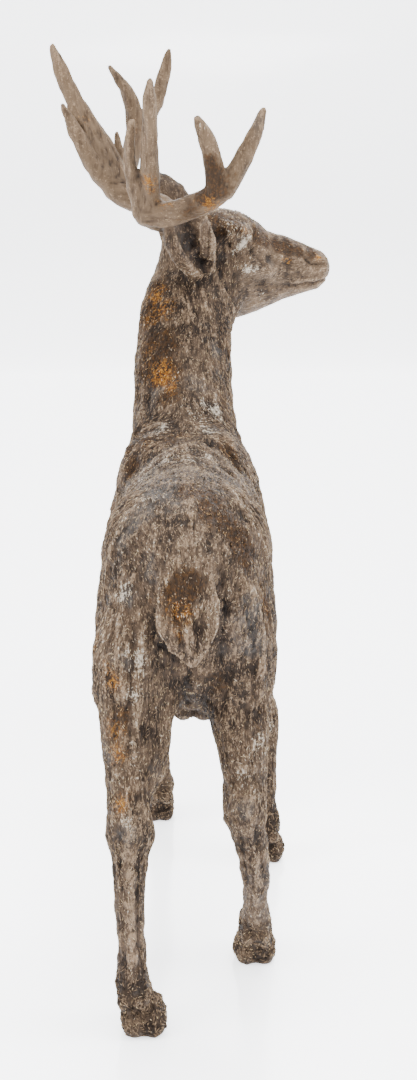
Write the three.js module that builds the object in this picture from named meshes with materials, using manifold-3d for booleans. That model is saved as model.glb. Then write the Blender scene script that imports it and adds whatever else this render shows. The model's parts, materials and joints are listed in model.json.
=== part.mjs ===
// A standing stag with its head turned to its right, cast in one piece.
// Millimetres, +Z up, +Y the way the body faces, +X its right. The origin is on the
// ground under the middle of the figure's box.
//
// The free form is described once, as swellings whose stations are in thousandths of the
// overall height. A swelling runs along a smooth line and has an elliptic section. The
// swellings melt into each other, and hollows are cut from them in the same way.
import * as THREE from "three";
import { mergeVertices } from "three/addons/utils/BufferGeometryUtils.js";
import Module from "manifold-3d";

const HEIGHT = 760; // soles to the highest antler tip, as cast
const FACETS = 9500; // triangles kept in the finished solid

const GRID_STEP = 4.6; // spacing of the samples that the skin is drawn through
const WIDEST_MELT = 30; // no two swellings melt together over more than this
const SPAN_STEPS = 4; // straight spans drawn for each stretch between two stations
const SETTLING_ROUNDS = 3; // times the skin's corners are evened out and put back on the form
const RIGHT = 1;
const LEFT = -1;
const ACROSS = new THREE.Vector3(1, 0, 0);

// The head has its own frame: forward to the nose, up, and out to its right.
const HEAD = {
  crown: new THREE.Vector3(35, 300, 785),
  turn: 60,
  nod: 8,
  tilt: 16,
};

/** The head's forward, up and right directions in the body's frame. */
function headAxes({ turn, nod, tilt }) {
  const yaw = THREE.MathUtils.degToRad(turn);
  const pitch = THREE.MathUtils.degToRad(nod);
  const roll = THREE.MathUtils.degToRad(tilt);
  const forward = new THREE.Vector3(
    Math.sin(yaw) * Math.cos(pitch),
    Math.cos(yaw) * Math.cos(pitch),
    -Math.sin(pitch),
  );
  const right = new THREE.Vector3(Math.cos(yaw), -Math.sin(yaw), 0);
  right.applyAxisAngle(forward, roll);
  const up = new THREE.Vector3().crossVectors(right, forward);
  return { forward, up, right };
}

const headAxis = headAxes(HEAD);

/** A point of the head frame, in the body's frame. */
function atHead(forward, up, out) {
  return HEAD.crown
    .clone()
    .addScaledVector(headAxis.forward, forward)
    .addScaledVector(headAxis.up, up)
    .addScaledVector(headAxis.right, out);
}

/** Stations of the head frame, turned into the body's frame. */
function headStations(stations) {
  return stations.map(([forward, up, out, ...radii]) => [
    ...atHead(forward, up, out).toArray(),
    ...radii,
  ]);
}

/** A swelling: stations are [x, y, z, radius across, radius in depth]. */
function swelling(name, melt, stations, side = ACROSS) {
  return { name, melt, stations, side, hollow: false };
}

/** A hollow, cut out of what came before it. */
function hollow(name, melt, stations, side = ACROSS) {
  return { name, melt, stations, side, hollow: true };
}

/** A swelling of the head, with its stations in the head frame. */
function onHead(name, melt, stations) {
  return swelling(name, melt, headStations(stations), headAxis.right);
}

/** Head stations moved to one side of the head's middle plane. */
function headMirrored(stations, side) {
  return stations.map(([forward, up, out, ...radii]) => [forward, up, out * side, ...radii]);
}

function trunk() {
  return [
    swelling("barrel", 1, [
      [0, -222, 468, 50, 58],
      [0, -188, 474, 68, 72],
      [0, -140, 476, 76, 77],
      [0, -80, 466, 75, 78],
      [1, -20, 456, 79, 84],
      [3, 45, 446, 83, 92],
      [5, 105, 442, 84, 100],
      [5, 155, 440, 78, 100],
      [4, 192, 448, 64, 76],
    ]),
    swelling("withers", 30, [
      [2, 30, 514, 30, 24],
      [2, 100, 520, 34, 28],
      [0, 160, 530, 42, 36],
    ]),
    swelling("brisket", 30, [
      [4, 30, 356, 40, 22],
      [6, 110, 338, 42, 28],
      [6, 190, 366, 40, 34],
      [4, 232, 420, 36, 34],
    ]),
    swelling("neck", WIDEST_MELT, [
      [2, 142, 462, 72, 84],
      [-1, 186, 508, 68, 82],
      [-2, 222, 562, 62, 72],
      [-2, 252, 618, 59, 60],
      [1, 278, 668, 57, 50],
      [8, 300, 706, 49, 42],
      [17, 310, 736, 39, 36],
    ]),
    swelling("throat", 24, [
      [4, 262, 560, 32, 26],
      [12, 302, 640, 36, 28],
      [32, 314, 676, 38, 30],
      [38, 322, 704, 34, 28],
    ]),
    hollow("hollow before the shoulder", 30, [[-86, 214, 500, 16, 30]]),
    hollow("hollow before the shoulder", 30, [[92, 210, 500, 16, 30]]),
  ];
}

function shoulder(side, { shoulder: point, elbow }) {
  const [x, y, z] = point;
  return [
    swelling("shoulder blade", 17, [
      [side * 37, 98, 526, 19, 22],
      [side * 58, 126, 494, 19, 36],
      [x - side * 6, y - 26, z + 20, 24, 44],
    ]),
    swelling("upper arm", 18, [
      [x, y - 8, z - 2, 27, 40],
      [x + (elbow[0] - x) / 2 + side * 5, (y + elbow[1]) / 2, (z + elbow[2]) / 2, 25, 42],
      [elbow[0], elbow[1] - 2, elbow[2] + 4, 21, 32],
    ]),
  ];
}

/** A straight mix of two points. */
function between(a, b, share) {
  return a.map((value, i) => value + (b[i] - value) * share);
}

/** A cloven foot; its underside reaches below the ground and is sliced flat there. */
function foot(fetlock, toe, width) {
  const [x, y] = toe;
  const cloven = (name, side) =>
    swelling(name, 6, [
      [x + side * width * 0.45, y - 14, 11, width * 0.52, 15],
      [x + side * width * 0.44, y + 14, 8, width * 0.46, 13],
    ]);
  const claw = (side) => [fetlock[0] + side * width * 0.42, fetlock[1] - 18, fetlock[2] - 10, 7, 9];
  return [
    swelling("pastern", 8, [
      [...fetlock, width * 0.7, 19],
      [...between(fetlock, toe, 0.55), width * 0.84, 20],
      [x, y - 4, 18, width * 0.96, 24],
    ]),
    cloven("right toe", RIGHT),
    cloven("left toe", LEFT),
    swelling("right dew claw", 5, [claw(RIGHT)]),
    swelling("left dew claw", 5, [claw(LEFT)]),
  ];
}

function foreleg(side, joints) {
  const { elbow, knee, fetlock, toe } = joints;
  return [
    ...shoulder(side, joints),
    swelling("forearm", 16, [
      [...elbow, 23, 31],
      [...between(elbow, knee, 0.35), 20, 25],
      [...between(elbow, knee, 0.75), 15, 18],
      [...knee, 16.5, 19],
    ]),
    swelling("knee", 8, [
      [knee[0], knee[1] + 3, knee[2] + 12, 17, 19],
      [knee[0], knee[1] + 2, knee[2] - 12, 16.5, 18],
    ]),
    swelling("fore cannon", 8, [
      [...knee, 16, 17],
      [...between(knee, fetlock, 0.45), side < 0 ? 13 : 15.5, 15],
      [...between(knee, fetlock, 0.8), 13.5, 15],
      [...fetlock, 17, 18],
    ]),
    ...foot(fetlock, toe, 20),
  ];
}

function hindLeg(side, { hip, stifle, inner, hock, cannon, fetlock, toe }) {
  const thigh = between(hip, stifle, 0.5);
  return [
    swelling("haunch", 30, [
      [hip[0] - side * 4, hip[1], hip[2] + 10, side < 0 ? 32 : 34, 56],
      [thigh[0] + side * 2, hip[1] + 6, thigh[2], side < 0 ? 31 : 32, 62],
      [stifle[0], stifle[1] - 8, stifle[2] + 6, 24, 42],
    ]),
    swelling("hamstring", 16, [
      [side * 40, -224, 450, 30, 34],
      [side * 59, (hock[1] + hip[1]) / 2 - 8, 384, side < 0 ? 34.5 : 31, 44],
      [(hock[0] + side * 62) / 2, (hock[1] * 2 + hip[1]) / 3 + 4, 318, side < 0 ? 27 : 24.5, 36],
      [hock[0], hock[1] - 4, hock[2] + 24, 17, 18],
    ]),
    swelling("inner thigh", 18, inner),
    swelling("gaskin", 16, [
      [...stifle, 24, 34],
      [...between(stifle, hock, 0.45), 23.5, 34],
      [...between(stifle, hock, 0.8), 21, 27],
      [...hock, 21, 22],
    ]),
    swelling("hock", 8, [
      [hock[0], hock[1] - 8, hock[2] + 16, 15, 18],
      [hock[0], hock[1] + 2, hock[2] - 6, 21, 23],
    ]),
    swelling("hind cannon", 9, [
      [hock[0], hock[1], hock[2] - 10, 19, 22],
      [...cannon, 14.5, 17],
      [...between(cannon, fetlock, 0.65), 14, 16],
      [...fetlock, 15.5, 18],
    ]),
    ...foot(fetlock, toe, 23),
  ];
}

const LEGS = {
  leftFore: {
    shoulder: [-65, 188, 432],
    elbow: [-64, 132, 350],
    knee: [-38, 196, 184],
    fetlock: [-35, 224, 52],
    toe: [-37, 246, 0],
  },
  rightFore: {
    shoulder: [71, 182, 428],
    elbow: [78, 114, 350],
    knee: [95, 116, 184],
    fetlock: [99, 106, 52],
    toe: [101, 122, 0],
  },
  leftHind: {
    hip: [-53, -160, 462],
    stifle: [-71, -116, 332],
    inner: [
      [-34, -204, 392, 30, 40],
      [-38, -218, 338, 26, 36],
      [-44, -244, 282, 22, 28],
    ],
    hock: [-57, -282, 230],
    cannon: [-59, -280, 150],
    fetlock: [-57, -268, 52],
    toe: [-46, -262, 0],
  },
  rightHind: {
    hip: [52, -150, 462],
    stifle: [64, -96, 328],
    inner: [
      [36, -192, 392, 30, 40],
      [42, -198, 338, 24, 34],
      [52, -206, 282, 20, 28],
    ],
    hock: [58, -214, 224],
    cannon: [71, -192, 136],
    fetlock: [73, -146, 52],
    toe: [74, -122, 0],
  },
};

function hindquarters() {
  return [
    swelling("groin", 20, [
      [2, -204, 420, 44, 56],
      [3, -190, 376, 40, 44],
      [4, -178, 346, 30, 30],
    ]),
    swelling("belly behind the barrel", 26, [
      [2, -150, 392, 40, 26],
      [2, -90, 388, 44, 24],
    ]),
    swelling("tail", 7, [
      [2, -246, 500, 20, 18],
      [1, -274, 474, 26, 14],
      [0, -289, 446, 30, 13],
      [1, -292, 424, 21, 11],
      [3, -288, 404, 6, 6],
    ]),
    ...[-6, 14].map((x) =>
      swelling("scrotum", 7, [
        [x, -178, 330, 9, 13],
        [x, -174, 312, 9.5, 12],
      ]),
    ),
    swelling("sheath", 22, [
      [3, -124, 378, 14, 16],
      [3, -78, 366, 9, 9],
    ]),
  ];
}

function head() {
  return [
    onHead("cranium", 16, [
      [-10, -38, 0, 41, 48],
      [22, -36, 0, 42, 52],
      [40, -40, 0, 38, 52],
    ]),
    onHead("jaw", 14, [
      [14, -79, 0, 38, 49],
      [56, -81, 0, 34, 45],
      [92, -72, 0, 28, 36],
    ]),
    onHead("muzzle", 10, [
      [44, -56, 0, 37, 58],
      [78, -57, 0, 32, 52],
      [112, -54, 0, 27, 45],
      [142, -51, 0, 24, 36],
      [168, -49, 0, 21, 28],
    ]),
    hollow("temple", 16, headStations([[2, -34, 52, 12, 18]]), headAxis.right),
    hollow("temple", 16, headStations([[2, -34, -52, 12, 18]]), headAxis.right),
    ...[RIGHT, LEFT].flatMap((side) => [
      onHead("brow", 12, headMirrored([[6, -2, 30, 12, 10], [34, -2, 34, 8, 7]], side)),
      onHead("eye", 5, headMirrored([[27, -12, 38, 7, 8]], side)),
      onHead("nostril wing", 6, headMirrored([[172, -38, 13, 9, 11]], side)),
      onHead("cheek ridge", 16, headMirrored([[44, -40, 33, 9, 9], [84, -48, 28, 7, 7]], side)),
    ]),
  ];
}

const EARS = {
  right: {
    leaf: [
      [-20, -56, 38, 14, 16],
      [-40, -34, 50, 13, 26],
      [-66, -8, 62, 11, 32],
      [-86, 16, 72, 8, 22],
      [-96, 32, 78, 4, 6],
    ],
    cup: [
      [-26, -44, 56, 9, 13],
      [-44, -24, 66, 11, 20],
      [-66, 0, 76, 11, 24],
      [-84, 18, 82, 8, 12],
    ],
  },
  left: {
    leaf: [
      [-16, -52, -38, 14, 16],
      [-20, -28, -52, 13, 24],
      [-26, -5, -66, 11, 27],
      [-34, 12, -78, 8, 18],
      [-42, 24, -85, 4, 6],
    ],
    cup: [
      [-20, -44, -56, 9, 13],
      [-24, -20, -68, 11, 18],
      [-31, 2, -80, 10, 18],
      [-38, 14, -86, 7, 9],
    ],
  },
};

function ear({ leaf, cup }) {
  return [
    onHead("ear", 7, leaf),
    hollow("cup of the ear", 4, headStations(cup), headAxis.right),
  ];
}

const ANTLERS = {
  right: {
    beam: [
      [-26, -14, 26, 15, 15],
      [-60, 2, 34, 14, 14],
      [-98, 2, 42, 15, 15],
      [-125, 11, 54, 16, 16],
      [-110, 17, 74, 15, 15],
      [-96, 34, 95, 14, 14],
      [-84, 52, 115, 14, 14],
      [-79, 69, 126, 14.5, 14.5],
    ],
    front: [
      [-75, 70, 128, 13, 13],
      [-67, 96, 132, 10.5, 10.5],
      [-60, 123, 132, 9.5, 9.5],
      [-55, 145, 131, 8, 8],
      [-52, 164, 129, 4.5, 4.5],
    ],
    second: [
      [-86, 74, 127, 13, 13],
      [-103, 108, 126, 10.5, 10.5],
      [-119, 130, 122, 8, 8],
      [-128, 140, 119, 4.5, 4.5],
    ],
    long: [
      [-124, 18, 56, 14, 14],
      [-134, 42, 64, 12.5, 12.5],
      [-147, 68, 75, 11, 11],
      [-170, 115, 95, 9, 9],
      [-189, 151, 112, 7.5, 7.5],
      [-199, 171, 121, 4, 4],
    ],
    back: [
      [-130, 16, 52, 13, 13],
      [-148, 38, 56, 9.5, 9.5],
      [-164, 62, 61, 7.5, 7.5],
      [-176, 90, 68, 6.5, 6.5],
      [-184, 118, 75, 3.5, 3.5],
    ],
  },
  left: {
    beam: [
      [-26, -14, -26, 15, 15],
      [-58, 0, -34, 14, 14],
      [-92, 0, -42, 15, 15],
      [-113, 8, -55, 15, 15],
      [-98, 16, -74, 14, 14],
      [-82, 34, -95, 12, 12],
      [-73, 58, -112, 12, 12],
      [-69, 80, -123, 12, 12],
    ],
    front: [
      [-67, 72, -123, 12, 12],
      [-52, 90, -128, 11, 11],
      [-45, 112, -131, 9.5, 9.5],
      [-43, 138, -131, 8.5, 8.5],
      [-44, 161, -130, 6, 6],
      [-46, 172, -129, 3.5, 3.5],
    ],
    second: [
      [-72, 82, -124, 11.5, 11.5],
      [-85, 106, -126, 9.5, 9.5],
      [-101, 121, -123, 7, 7],
      [-118, 134, -121, 5, 5],
      [-127, 140, -119, 3.5, 3.5],
    ],
    long: [
      [-105, 12, -58, 15, 15],
      [-122, 38, -74, 14.5, 14.5],
      [-146, 67, -92, 13.5, 13.5],
      [-171, 96, -106, 11, 11],
      [-192, 126, -115, 8.5, 8.5],
      [-206, 150, -121, 4.5, 4.5],
    ],
    back: [
      [-112, 8, -55, 13, 13],
      [-138, 22, -62, 11.5, 11.5],
      [-159, 44, -68, 10, 10],
      [-179, 69, -74, 8, 8],
      [-196, 91, -80, 4, 4],
    ],
    web: [
      [-124, 24, -64, 12, 12],
      [-146, 50, -78, 11.5, 11.5],
      [-166, 74, -90, 8.5, 8.5],
      [-177, 88, -96, 5, 5],
    ],
    spur: [
      [-92, 28, -82, 9, 9],
      [-98, 40, -90, 6, 6],
      [-103, 52, -96, 5, 5],
      [-107, 66, -100, 3, 3],
    ],
  },
};

function antler(parts) {
  return Object.entries(parts).map(([name, stations]) => onHead(`antler ${name}`, 6, stations));
}

const FORM = [
  ...trunk(),
  ...foreleg(LEFT, LEGS.leftFore),
  ...foreleg(RIGHT, LEGS.rightFore),
  ...hindquarters(),
  ...hindLeg(LEFT, LEGS.leftHind),
  ...hindLeg(RIGHT, LEGS.rightHind),
  ...head(),
  ...ear(EARS.right),
  ...ear(EARS.left),
  ...antler(ANTLERS.right),
  ...antler(ANTLERS.left),
];

/** Draws a form's smooth line as short straight spans with a box round each. */
function spansOf({ stations, side, melt, hollow: cut }) {
  const [first] = stations;
  const points = stations.length > 1 ? stations : [first, first.map((v, i) => (i === 2 ? v + 0.5 : v))];
  const line = new THREE.CatmullRomCurve3(points.map(([x, y, z]) => new THREE.Vector3(x, y, z)));
  const girth = new THREE.CatmullRomCurve3(
    points.map(([, , , a, b]) => new THREE.Vector3(a, b, 0)),
    false,
    "catmullrom",
    0.5,
  );
  const steps = (points.length - 1) * SPAN_STEPS;
  const drawn = [];
  for (let i = 0; i <= steps; i++) {
    drawn.push([line.getPoint(i / steps), girth.getPoint(i / steps)]);
  }
  const spans = [];
  for (let i = 0; i < steps; i++) {
    const [[start, from], [end, to]] = [drawn[i], drawn[i + 1]];
    const reach = Math.max(from.x, from.y, to.x, to.y);
    const box = new THREE.Box3().setFromPoints([start, end]).expandByScalar(reach);
    spans.push({ start, along: end.clone().sub(start), from, to, box });
  }
  return { spans, side: side.clone().normalize(), melt, cut };
}

/** The signed distance, near enough, from a point to one span's skin. */
function spanDistance({ start, along, from, to }, side, x, y, z) {
  const px = x - start.x;
  const py = y - start.y;
  const pz = z - start.z;
  const length = along.x * along.x + along.y * along.y + along.z * along.z;
  const t = Math.min(1, Math.max(0, (px * along.x + py * along.y + pz * along.z) / length));
  const qx = px - along.x * t;
  const qy = py - along.y * t;
  const qz = pz - along.z * t;
  const across = qx * side.x + qy * side.y + qz * side.z;
  const whole = qx * qx + qy * qy + qz * qz;
  const wide = from.x + (to.x - from.x) * t;
  const deep = from.y + (to.y - from.y) * t;
  const share = Math.sqrt((across * across) / (wide * wide) + Math.max(0, whole - across * across) / (deep * deep));
  return share < 1e-6 ? -Math.min(wide, deep) : Math.sqrt(whole) * (1 - 1 / share);
}

function meltedUnion(a, b, melt) {
  const overlap = Math.max(melt - Math.abs(a - b), 0) / melt;
  return Math.min(a, b) - (overlap * overlap * melt) / 4;
}

/** The whole figure's signed distance at a point, from the given forms. */
function fieldAt(forms, x, y, z) {
  let distance = 1e3;
  for (const { spans, side, melt, cut } of forms) {
    let nearest = 1e3;
    for (const span of spans) {
      nearest = Math.min(nearest, spanDistance(span, side, x, y, z));
    }
    distance = cut ? -meltedUnion(-distance, nearest, melt) : meltedUnion(distance, nearest, melt);
  }
  return distance;
}

/** The forms that can reach a box, each with only its spans that can. */
function formsNear(forms, box) {
  const near = [];
  const reach = box.clone().expandByScalar(WIDEST_MELT + GRID_STEP);
  for (const form of forms) {
    const spans = form.spans.filter((span) => span.box.intersectsBox(reach));
    if (spans.length) near.push({ ...form, spans });
  }
  return near;
}

const BLOCK = 8; // cells along each side of a block that is sampled with its own short list of forms
const OUTSIDE = 1e3;
const CORNERS = [
  [0, 0, 0],
  [1, 0, 0],
  [0, 1, 0],
  [1, 1, 0],
  [0, 0, 1],
  [1, 0, 1],
  [0, 1, 1],
  [1, 1, 1],
];
const TETRAHEDRA = [
  [0, 1, 3, 7],
  [0, 3, 2, 7],
  [0, 2, 6, 7],
  [0, 6, 4, 7],
  [0, 4, 5, 7],
  [0, 5, 1, 7],
];

/** The figure's signed distance, sampled on a grid of whole blocks. */
class SampledForm {
  constructor(forms) {
    this.bounds = new THREE.Box3();
    for (const form of forms) {
      if (!form.cut) form.spans.forEach((span) => this.bounds.union(span.box));
    }
    this.bounds.expandByScalar(GRID_STEP * 2);
    this.blocks = this.bounds.getSize(new THREE.Vector3()).divideScalar(GRID_STEP * BLOCK).ceil();
    this.nx = this.blocks.x * BLOCK + 1;
    this.ny = this.blocks.y * BLOCK + 1;
    this.nz = this.blocks.z * BLOCK + 1;
    this.values = new Float32Array(this.nx * this.ny * this.nz).fill(OUTSIDE);
    this.nearby = new Map();
    this.skinned = [];
    for (let k = 0; k < this.blocks.z; k++) {
      for (let j = 0; j < this.blocks.y; j++) {
        for (let i = 0; i < this.blocks.x; i++) this.sampleBlock(forms, i, j, k);
      }
    }
  }

  index(i, j, k) {
    return (k * this.ny + j) * this.nx + i;
  }

  place(i, j, k) {
    return new THREE.Vector3(i, j, k).multiplyScalar(GRID_STEP).add(this.bounds.min);
  }

  placeOf(index) {
    const layer = Math.floor(index / this.nx);
    return this.place(index % this.nx, layer % this.ny, Math.floor(layer / this.ny));
  }

  blockKey(i, j, k) {
    return (k * this.blocks.y + j) * this.blocks.x + i;
  }

  /** Samples one block, or fills it when the skin is well away from it. */
  sampleBlock(forms, bi, bj, bk) {
    const low = this.place(bi * BLOCK, bj * BLOCK, bk * BLOCK);
    const box = new THREE.Box3(low, low.clone().addScalar(GRID_STEP * BLOCK));
    const near = formsNear(forms, box);
    if (!near.length) return;
    const middle = box.getCenter(new THREE.Vector3());
    const far = GRID_STEP * BLOCK * 2;
    const distance = fieldAt(near, middle.x, middle.y, middle.z);
    const filled = distance < -far;
    if (!filled) {
      this.nearby.set(this.blockKey(bi, bj, bk), near);
      this.skinned.push([bi, bj, bk]);
    }
    for (let k = bk * BLOCK; k <= bk * BLOCK + BLOCK; k++) {
      for (let j = bj * BLOCK; j <= bj * BLOCK + BLOCK; j++) {
        for (let i = bi * BLOCK; i <= bi * BLOCK + BLOCK; i++) {
          const n = this.index(i, j, k);
          if (filled) {
            this.values[n] = distance;
          } else if (this.values[n] === OUTSIDE) {
            const p = this.place(i, j, k);
            this.values[n] = fieldAt(near, p.x, p.y, p.z);
          }
        }
      }
    }
  }

  /** The forms near a point of the skin. */
  formsAround(point) {
    const cell = point.clone().sub(this.bounds.min).divideScalar(GRID_STEP * BLOCK).floor();
    return this.nearby.get(this.blockKey(cell.x, cell.y, cell.z));
  }
}

/** Draws the skin through the samples, tetrahedron by tetrahedron. */
function skinOf(sampled) {
  const { values } = sampled;
  const positions = [];
  const triangles = [];
  const made = new Map();
  const crossing = (a, b) => {
    const [low, high] = a < b ? [a, b] : [b, a];
    const key = low * values.length + high;
    if (!made.has(key)) {
      const share = THREE.MathUtils.clamp(values[low] / (values[low] - values[high]), 0.05, 0.95);
      made.set(key, positions.length / 3);
      positions.push(...sampled.placeOf(low).lerp(sampled.placeOf(high), share).toArray());
    }
    return made.get(key);
  };
  const corner = (n) => new THREE.Vector3().fromArray(positions, n * 3);
  const addRing = (ring, inner) => {
    const [a, b, c] = ring.map(corner);
    const facesIn = b.sub(a).cross(c.sub(a)).dot(sampled.placeOf(inner).sub(a)) > 0;
    for (let n = 1; n < ring.length - 1; n++) {
      const [second, third] = facesIn ? [ring[n + 1], ring[n]] : [ring[n], ring[n + 1]];
      triangles.push(ring[0], second, third);
    }
  };
  for (const [bi, bj, bk] of sampled.skinned) {
    for (let cell = 0; cell < BLOCK ** 3; cell++) {
      const i = bi * BLOCK + (cell % BLOCK);
      const j = bj * BLOCK + (Math.floor(cell / BLOCK) % BLOCK);
      const k = bk * BLOCK + Math.floor(cell / BLOCK ** 2);
      const corners = CORNERS.map(([di, dj, dk]) => sampled.index(i + di, j + dj, k + dk));
      const full = corners.filter((n) => values[n] < 0).length;
      if (full === 0 || full === 8) continue;
      for (const tetrahedron of TETRAHEDRA) {
        const four = tetrahedron.map((n) => corners[n]);
        const within = four.filter((n) => values[n] < 0);
        const beyond = four.filter((n) => values[n] >= 0);
        if (!within.length || !beyond.length) continue;
        const [few, many] = within.length <= beyond.length ? [within, beyond] : [beyond, within];
        const ring =
          few.length === 1
            ? many.map((n) => crossing(few[0], n))
            : [
                crossing(few[0], many[0]),
                crossing(few[0], many[1]),
                crossing(few[1], many[1]),
                crossing(few[1], many[0]),
              ];
        addRing(ring, within[0]);
      }
    }
  }
  return { positions: new Float64Array(positions), triangles };
}

/** Evens out the skin's corners, and puts each one back on the form. */
function settled({ positions, triangles }, sampled) {
  const count = positions.length / 3;
  for (let round = 0; round < SETTLING_ROUNDS; round++) {
    const sums = new Float64Array(positions.length);
    const shares = new Uint16Array(count);
    for (let f = 0; f < triangles.length; f += 3) {
      for (let n = 0; n < 3; n++) {
        const at = triangles[f + n];
        const next = triangles[f + ((n + 1) % 3)];
        for (let axis = 0; axis < 3; axis++) sums[at * 3 + axis] += positions[next * 3 + axis];
        shares[at]++;
      }
    }
    for (let n = 0; n < count; n++) {
      const old = new THREE.Vector3().fromArray(positions, n * 3);
      const middle = new THREE.Vector3().fromArray(sums, n * 3).divideScalar(shares[n]);
      const near = sampled.formsAround(old);
      if (!near) continue;
      const point = old.clone().lerp(middle, 0.6);
      for (let step = 0; step < 2; step++) dropOnForm(point, near);
      if (point.distanceTo(old) < GRID_STEP) positions.set(point.toArray(), n * 3);
    }
  }
  return { positions, triangles };
}

/** Moves a point down the slope of the form's distance, on to its skin. */
function dropOnForm(point, near) {
  const { x, y, z } = point;
  const reach = 0.4;
  const here = fieldAt(near, x, y, z);
  const slope = new THREE.Vector3(
    fieldAt(near, x + reach, y, z) - here,
    fieldAt(near, x, y + reach, z) - here,
    fieldAt(near, x, y, z + reach) - here,
  ).divideScalar(reach);
  const steep = Math.max(slope.lengthSq(), 0.25);
  point.addScaledVector(slope, -here / steep);
}

/** Thins the skin to a number of triangles, folding first the edges whose loss shows least. */
function thinned({ positions, triangles }, wanted) {
  const corners = new Float64Array(positions);
  const faces = [];
  const around = Array.from({ length: corners.length / 3 }, () => new Set());
  const quadrics = Array.from({ length: corners.length / 3 }, () => new Float64Array(10));
  const point = (n) => new THREE.Vector3(corners[n * 3], corners[n * 3 + 1], corners[n * 3 + 2]);
  const crossOf = ([a, b, c]) => point(b).sub(point(a)).cross(point(c).sub(point(a)));
  for (let f = 0; f < triangles.length; f += 3) {
    const face = triangles.slice(f, f + 3);
    faces.push(face);
    const normal = crossOf(face);
    const area = normal.length() / 2;
    normal.normalize();
    const plane = [normal.x, normal.y, normal.z, -normal.dot(point(face[0]))];
    for (const corner of face) {
      around[corner].add(faces.length - 1);
      let term = 0;
      for (let i = 0; i < 4; i++) {
        for (let j = i; j < 4; j++) quadrics[corner][term++] += plane[i] * plane[j] * area;
      }
    }
  }
  const loss = (q, p) =>
    q[0] * p.x * p.x + 2 * q[1] * p.x * p.y + 2 * q[2] * p.x * p.z + 2 * q[3] * p.x +
    q[4] * p.y * p.y + 2 * q[5] * p.y * p.z + 2 * q[6] * p.y +
    q[7] * p.z * p.z + 2 * q[8] * p.z + q[9];
  const best = (a, b) => {
    const q = quadrics[a].map((v, i) => v + quadrics[b][i]);
    const [start, end] = [point(a), point(b)];
    const options = [start, end, start.clone().add(end).multiplyScalar(0.5)];
    const m = new THREE.Matrix3().set(q[0], q[1], q[2], q[1], q[4], q[5], q[2], q[5], q[7]);
    const scale = (q[0] + q[4] + q[7]) / 3;
    if (Math.abs(m.determinant()) > 1e-4 * scale ** 3) {
      const solved = new THREE.Vector3(-q[3], -q[6], -q[8]).applyMatrix3(m.invert());
      if (solved.distanceTo(options[2]) < 2 * start.distanceTo(end)) options.push(solved);
    }
    const costs = options.map((p) => loss(q, p));
    const least = costs.indexOf(Math.min(...costs));
    return { a, b, to: options[least], cost: Math.max(0, costs[least]) + 1e-6 * start.distanceToSquared(end) };
  };
  const age = new Uint32Array(around.length);
  const heap = [];
  const lift = (n) => {
    while (n > 0) {
      const up = (n - 1) >> 1;
      if (heap[up].cost <= heap[n].cost) return;
      [heap[up], heap[n]] = [heap[n], heap[up]];
      n = up;
    }
  };
  const sink = (n) => {
    for (;;) {
      let least = n;
      for (const down of [2 * n + 1, 2 * n + 2]) {
        if (down < heap.length && heap[down].cost < heap[least].cost) least = down;
      }
      if (least === n) return;
      [heap[least], heap[n]] = [heap[n], heap[least]];
      n = least;
    }
  };
  const offer = (a, b) => {
    heap.push({ ...best(a, b), ages: age[a] + age[b] });
    lift(heap.length - 1);
  };
  const neighbours = (n) => {
    const found = new Set();
    for (const f of around[n]) faces[f].forEach((corner) => found.add(corner));
    found.delete(n);
    return found;
  };
  for (let n = 0; n < around.length; n++) {
    for (const other of neighbours(n)) if (n < other) offer(n, other);
  }
  let left = faces.length;
  while (left > wanted && heap.length) {
    const { a, b, to, ages } = heap[0];
    const last = heap.pop();
    if (heap.length) {
      heap[0] = last;
      sink(0);
    }
    if (ages !== age[a] + age[b] || !around[a].size || !around[b].size) continue;
    const near = neighbours(a);
    if (!near.has(b)) continue;
    const shared = [...neighbours(b)].filter((n) => near.has(n));
    if (shared.length !== 2) continue;
    const turned = [a, b].some((moved) =>
      [...around[moved]].some((f) => {
        if (faces[f].includes(a) && faces[f].includes(b)) return false;
        const before = crossOf(faces[f]);
        const [p, q, r] = faces[f].map((n) => (n === moved ? to : point(n)));
        const after = q.clone().sub(p).cross(r.clone().sub(p));
        return after.dot(before) < 0.2 * after.length() * before.length();
      }),
    );
    if (turned) continue;
    corners.set(to.toArray(), a * 3);
    quadrics[a] = quadrics[a].map((v, i) => v + quadrics[b][i]);
    for (const f of around[b]) {
      if (faces[f].includes(a)) {
        faces[f].forEach((n) => n !== b && around[n].delete(f));
        faces[f] = null;
        left--;
      } else {
        faces[f][faces[f].indexOf(b)] = a;
        around[a].add(f);
      }
    }
    around[b].clear();
    age[a]++;
    age[b]++;
    for (const other of neighbours(a)) offer(a, other);
  }
  return { positions: corners, triangles: faces.filter(Boolean).flat() };
}

/** A three.js geometry from corners and triangles. */
function geometryOf({ positions, triangles }) {
  const geometry = new THREE.BufferGeometry();
  geometry.setAttribute("position", new THREE.Float32BufferAttribute(positions, 3));
  geometry.setIndex(triangles);
  return geometry;
}

/** A closed geometry as a solid that can be joined and cut. */
function solidOf(wasm, geometry) {
  const bare = geometry.clone();
  bare.deleteAttribute("normal");
  bare.deleteAttribute("uv");
  const merged = mergeVertices(bare);
  return new wasm.Manifold(
    new wasm.Mesh({
      numProp: 3,
      vertProperties: merged.getAttribute("position").array,
      triVerts: new Uint32Array(merged.index.array),
    }),
  );
}

/** A solid back as a three.js geometry. */
function geometryFrom(solid) {
  const { numProp, numVert, vertProperties, triVerts } = solid.getMesh();
  const positions = new Float32Array(numVert * 3);
  for (let n = 0; n < numVert; n++) {
    positions.set(vertProperties.subarray(n * numProp, n * numProp + 3), n * 3);
  }
  return geometryOf({ positions, triangles: [...triVerts] });
}

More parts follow.
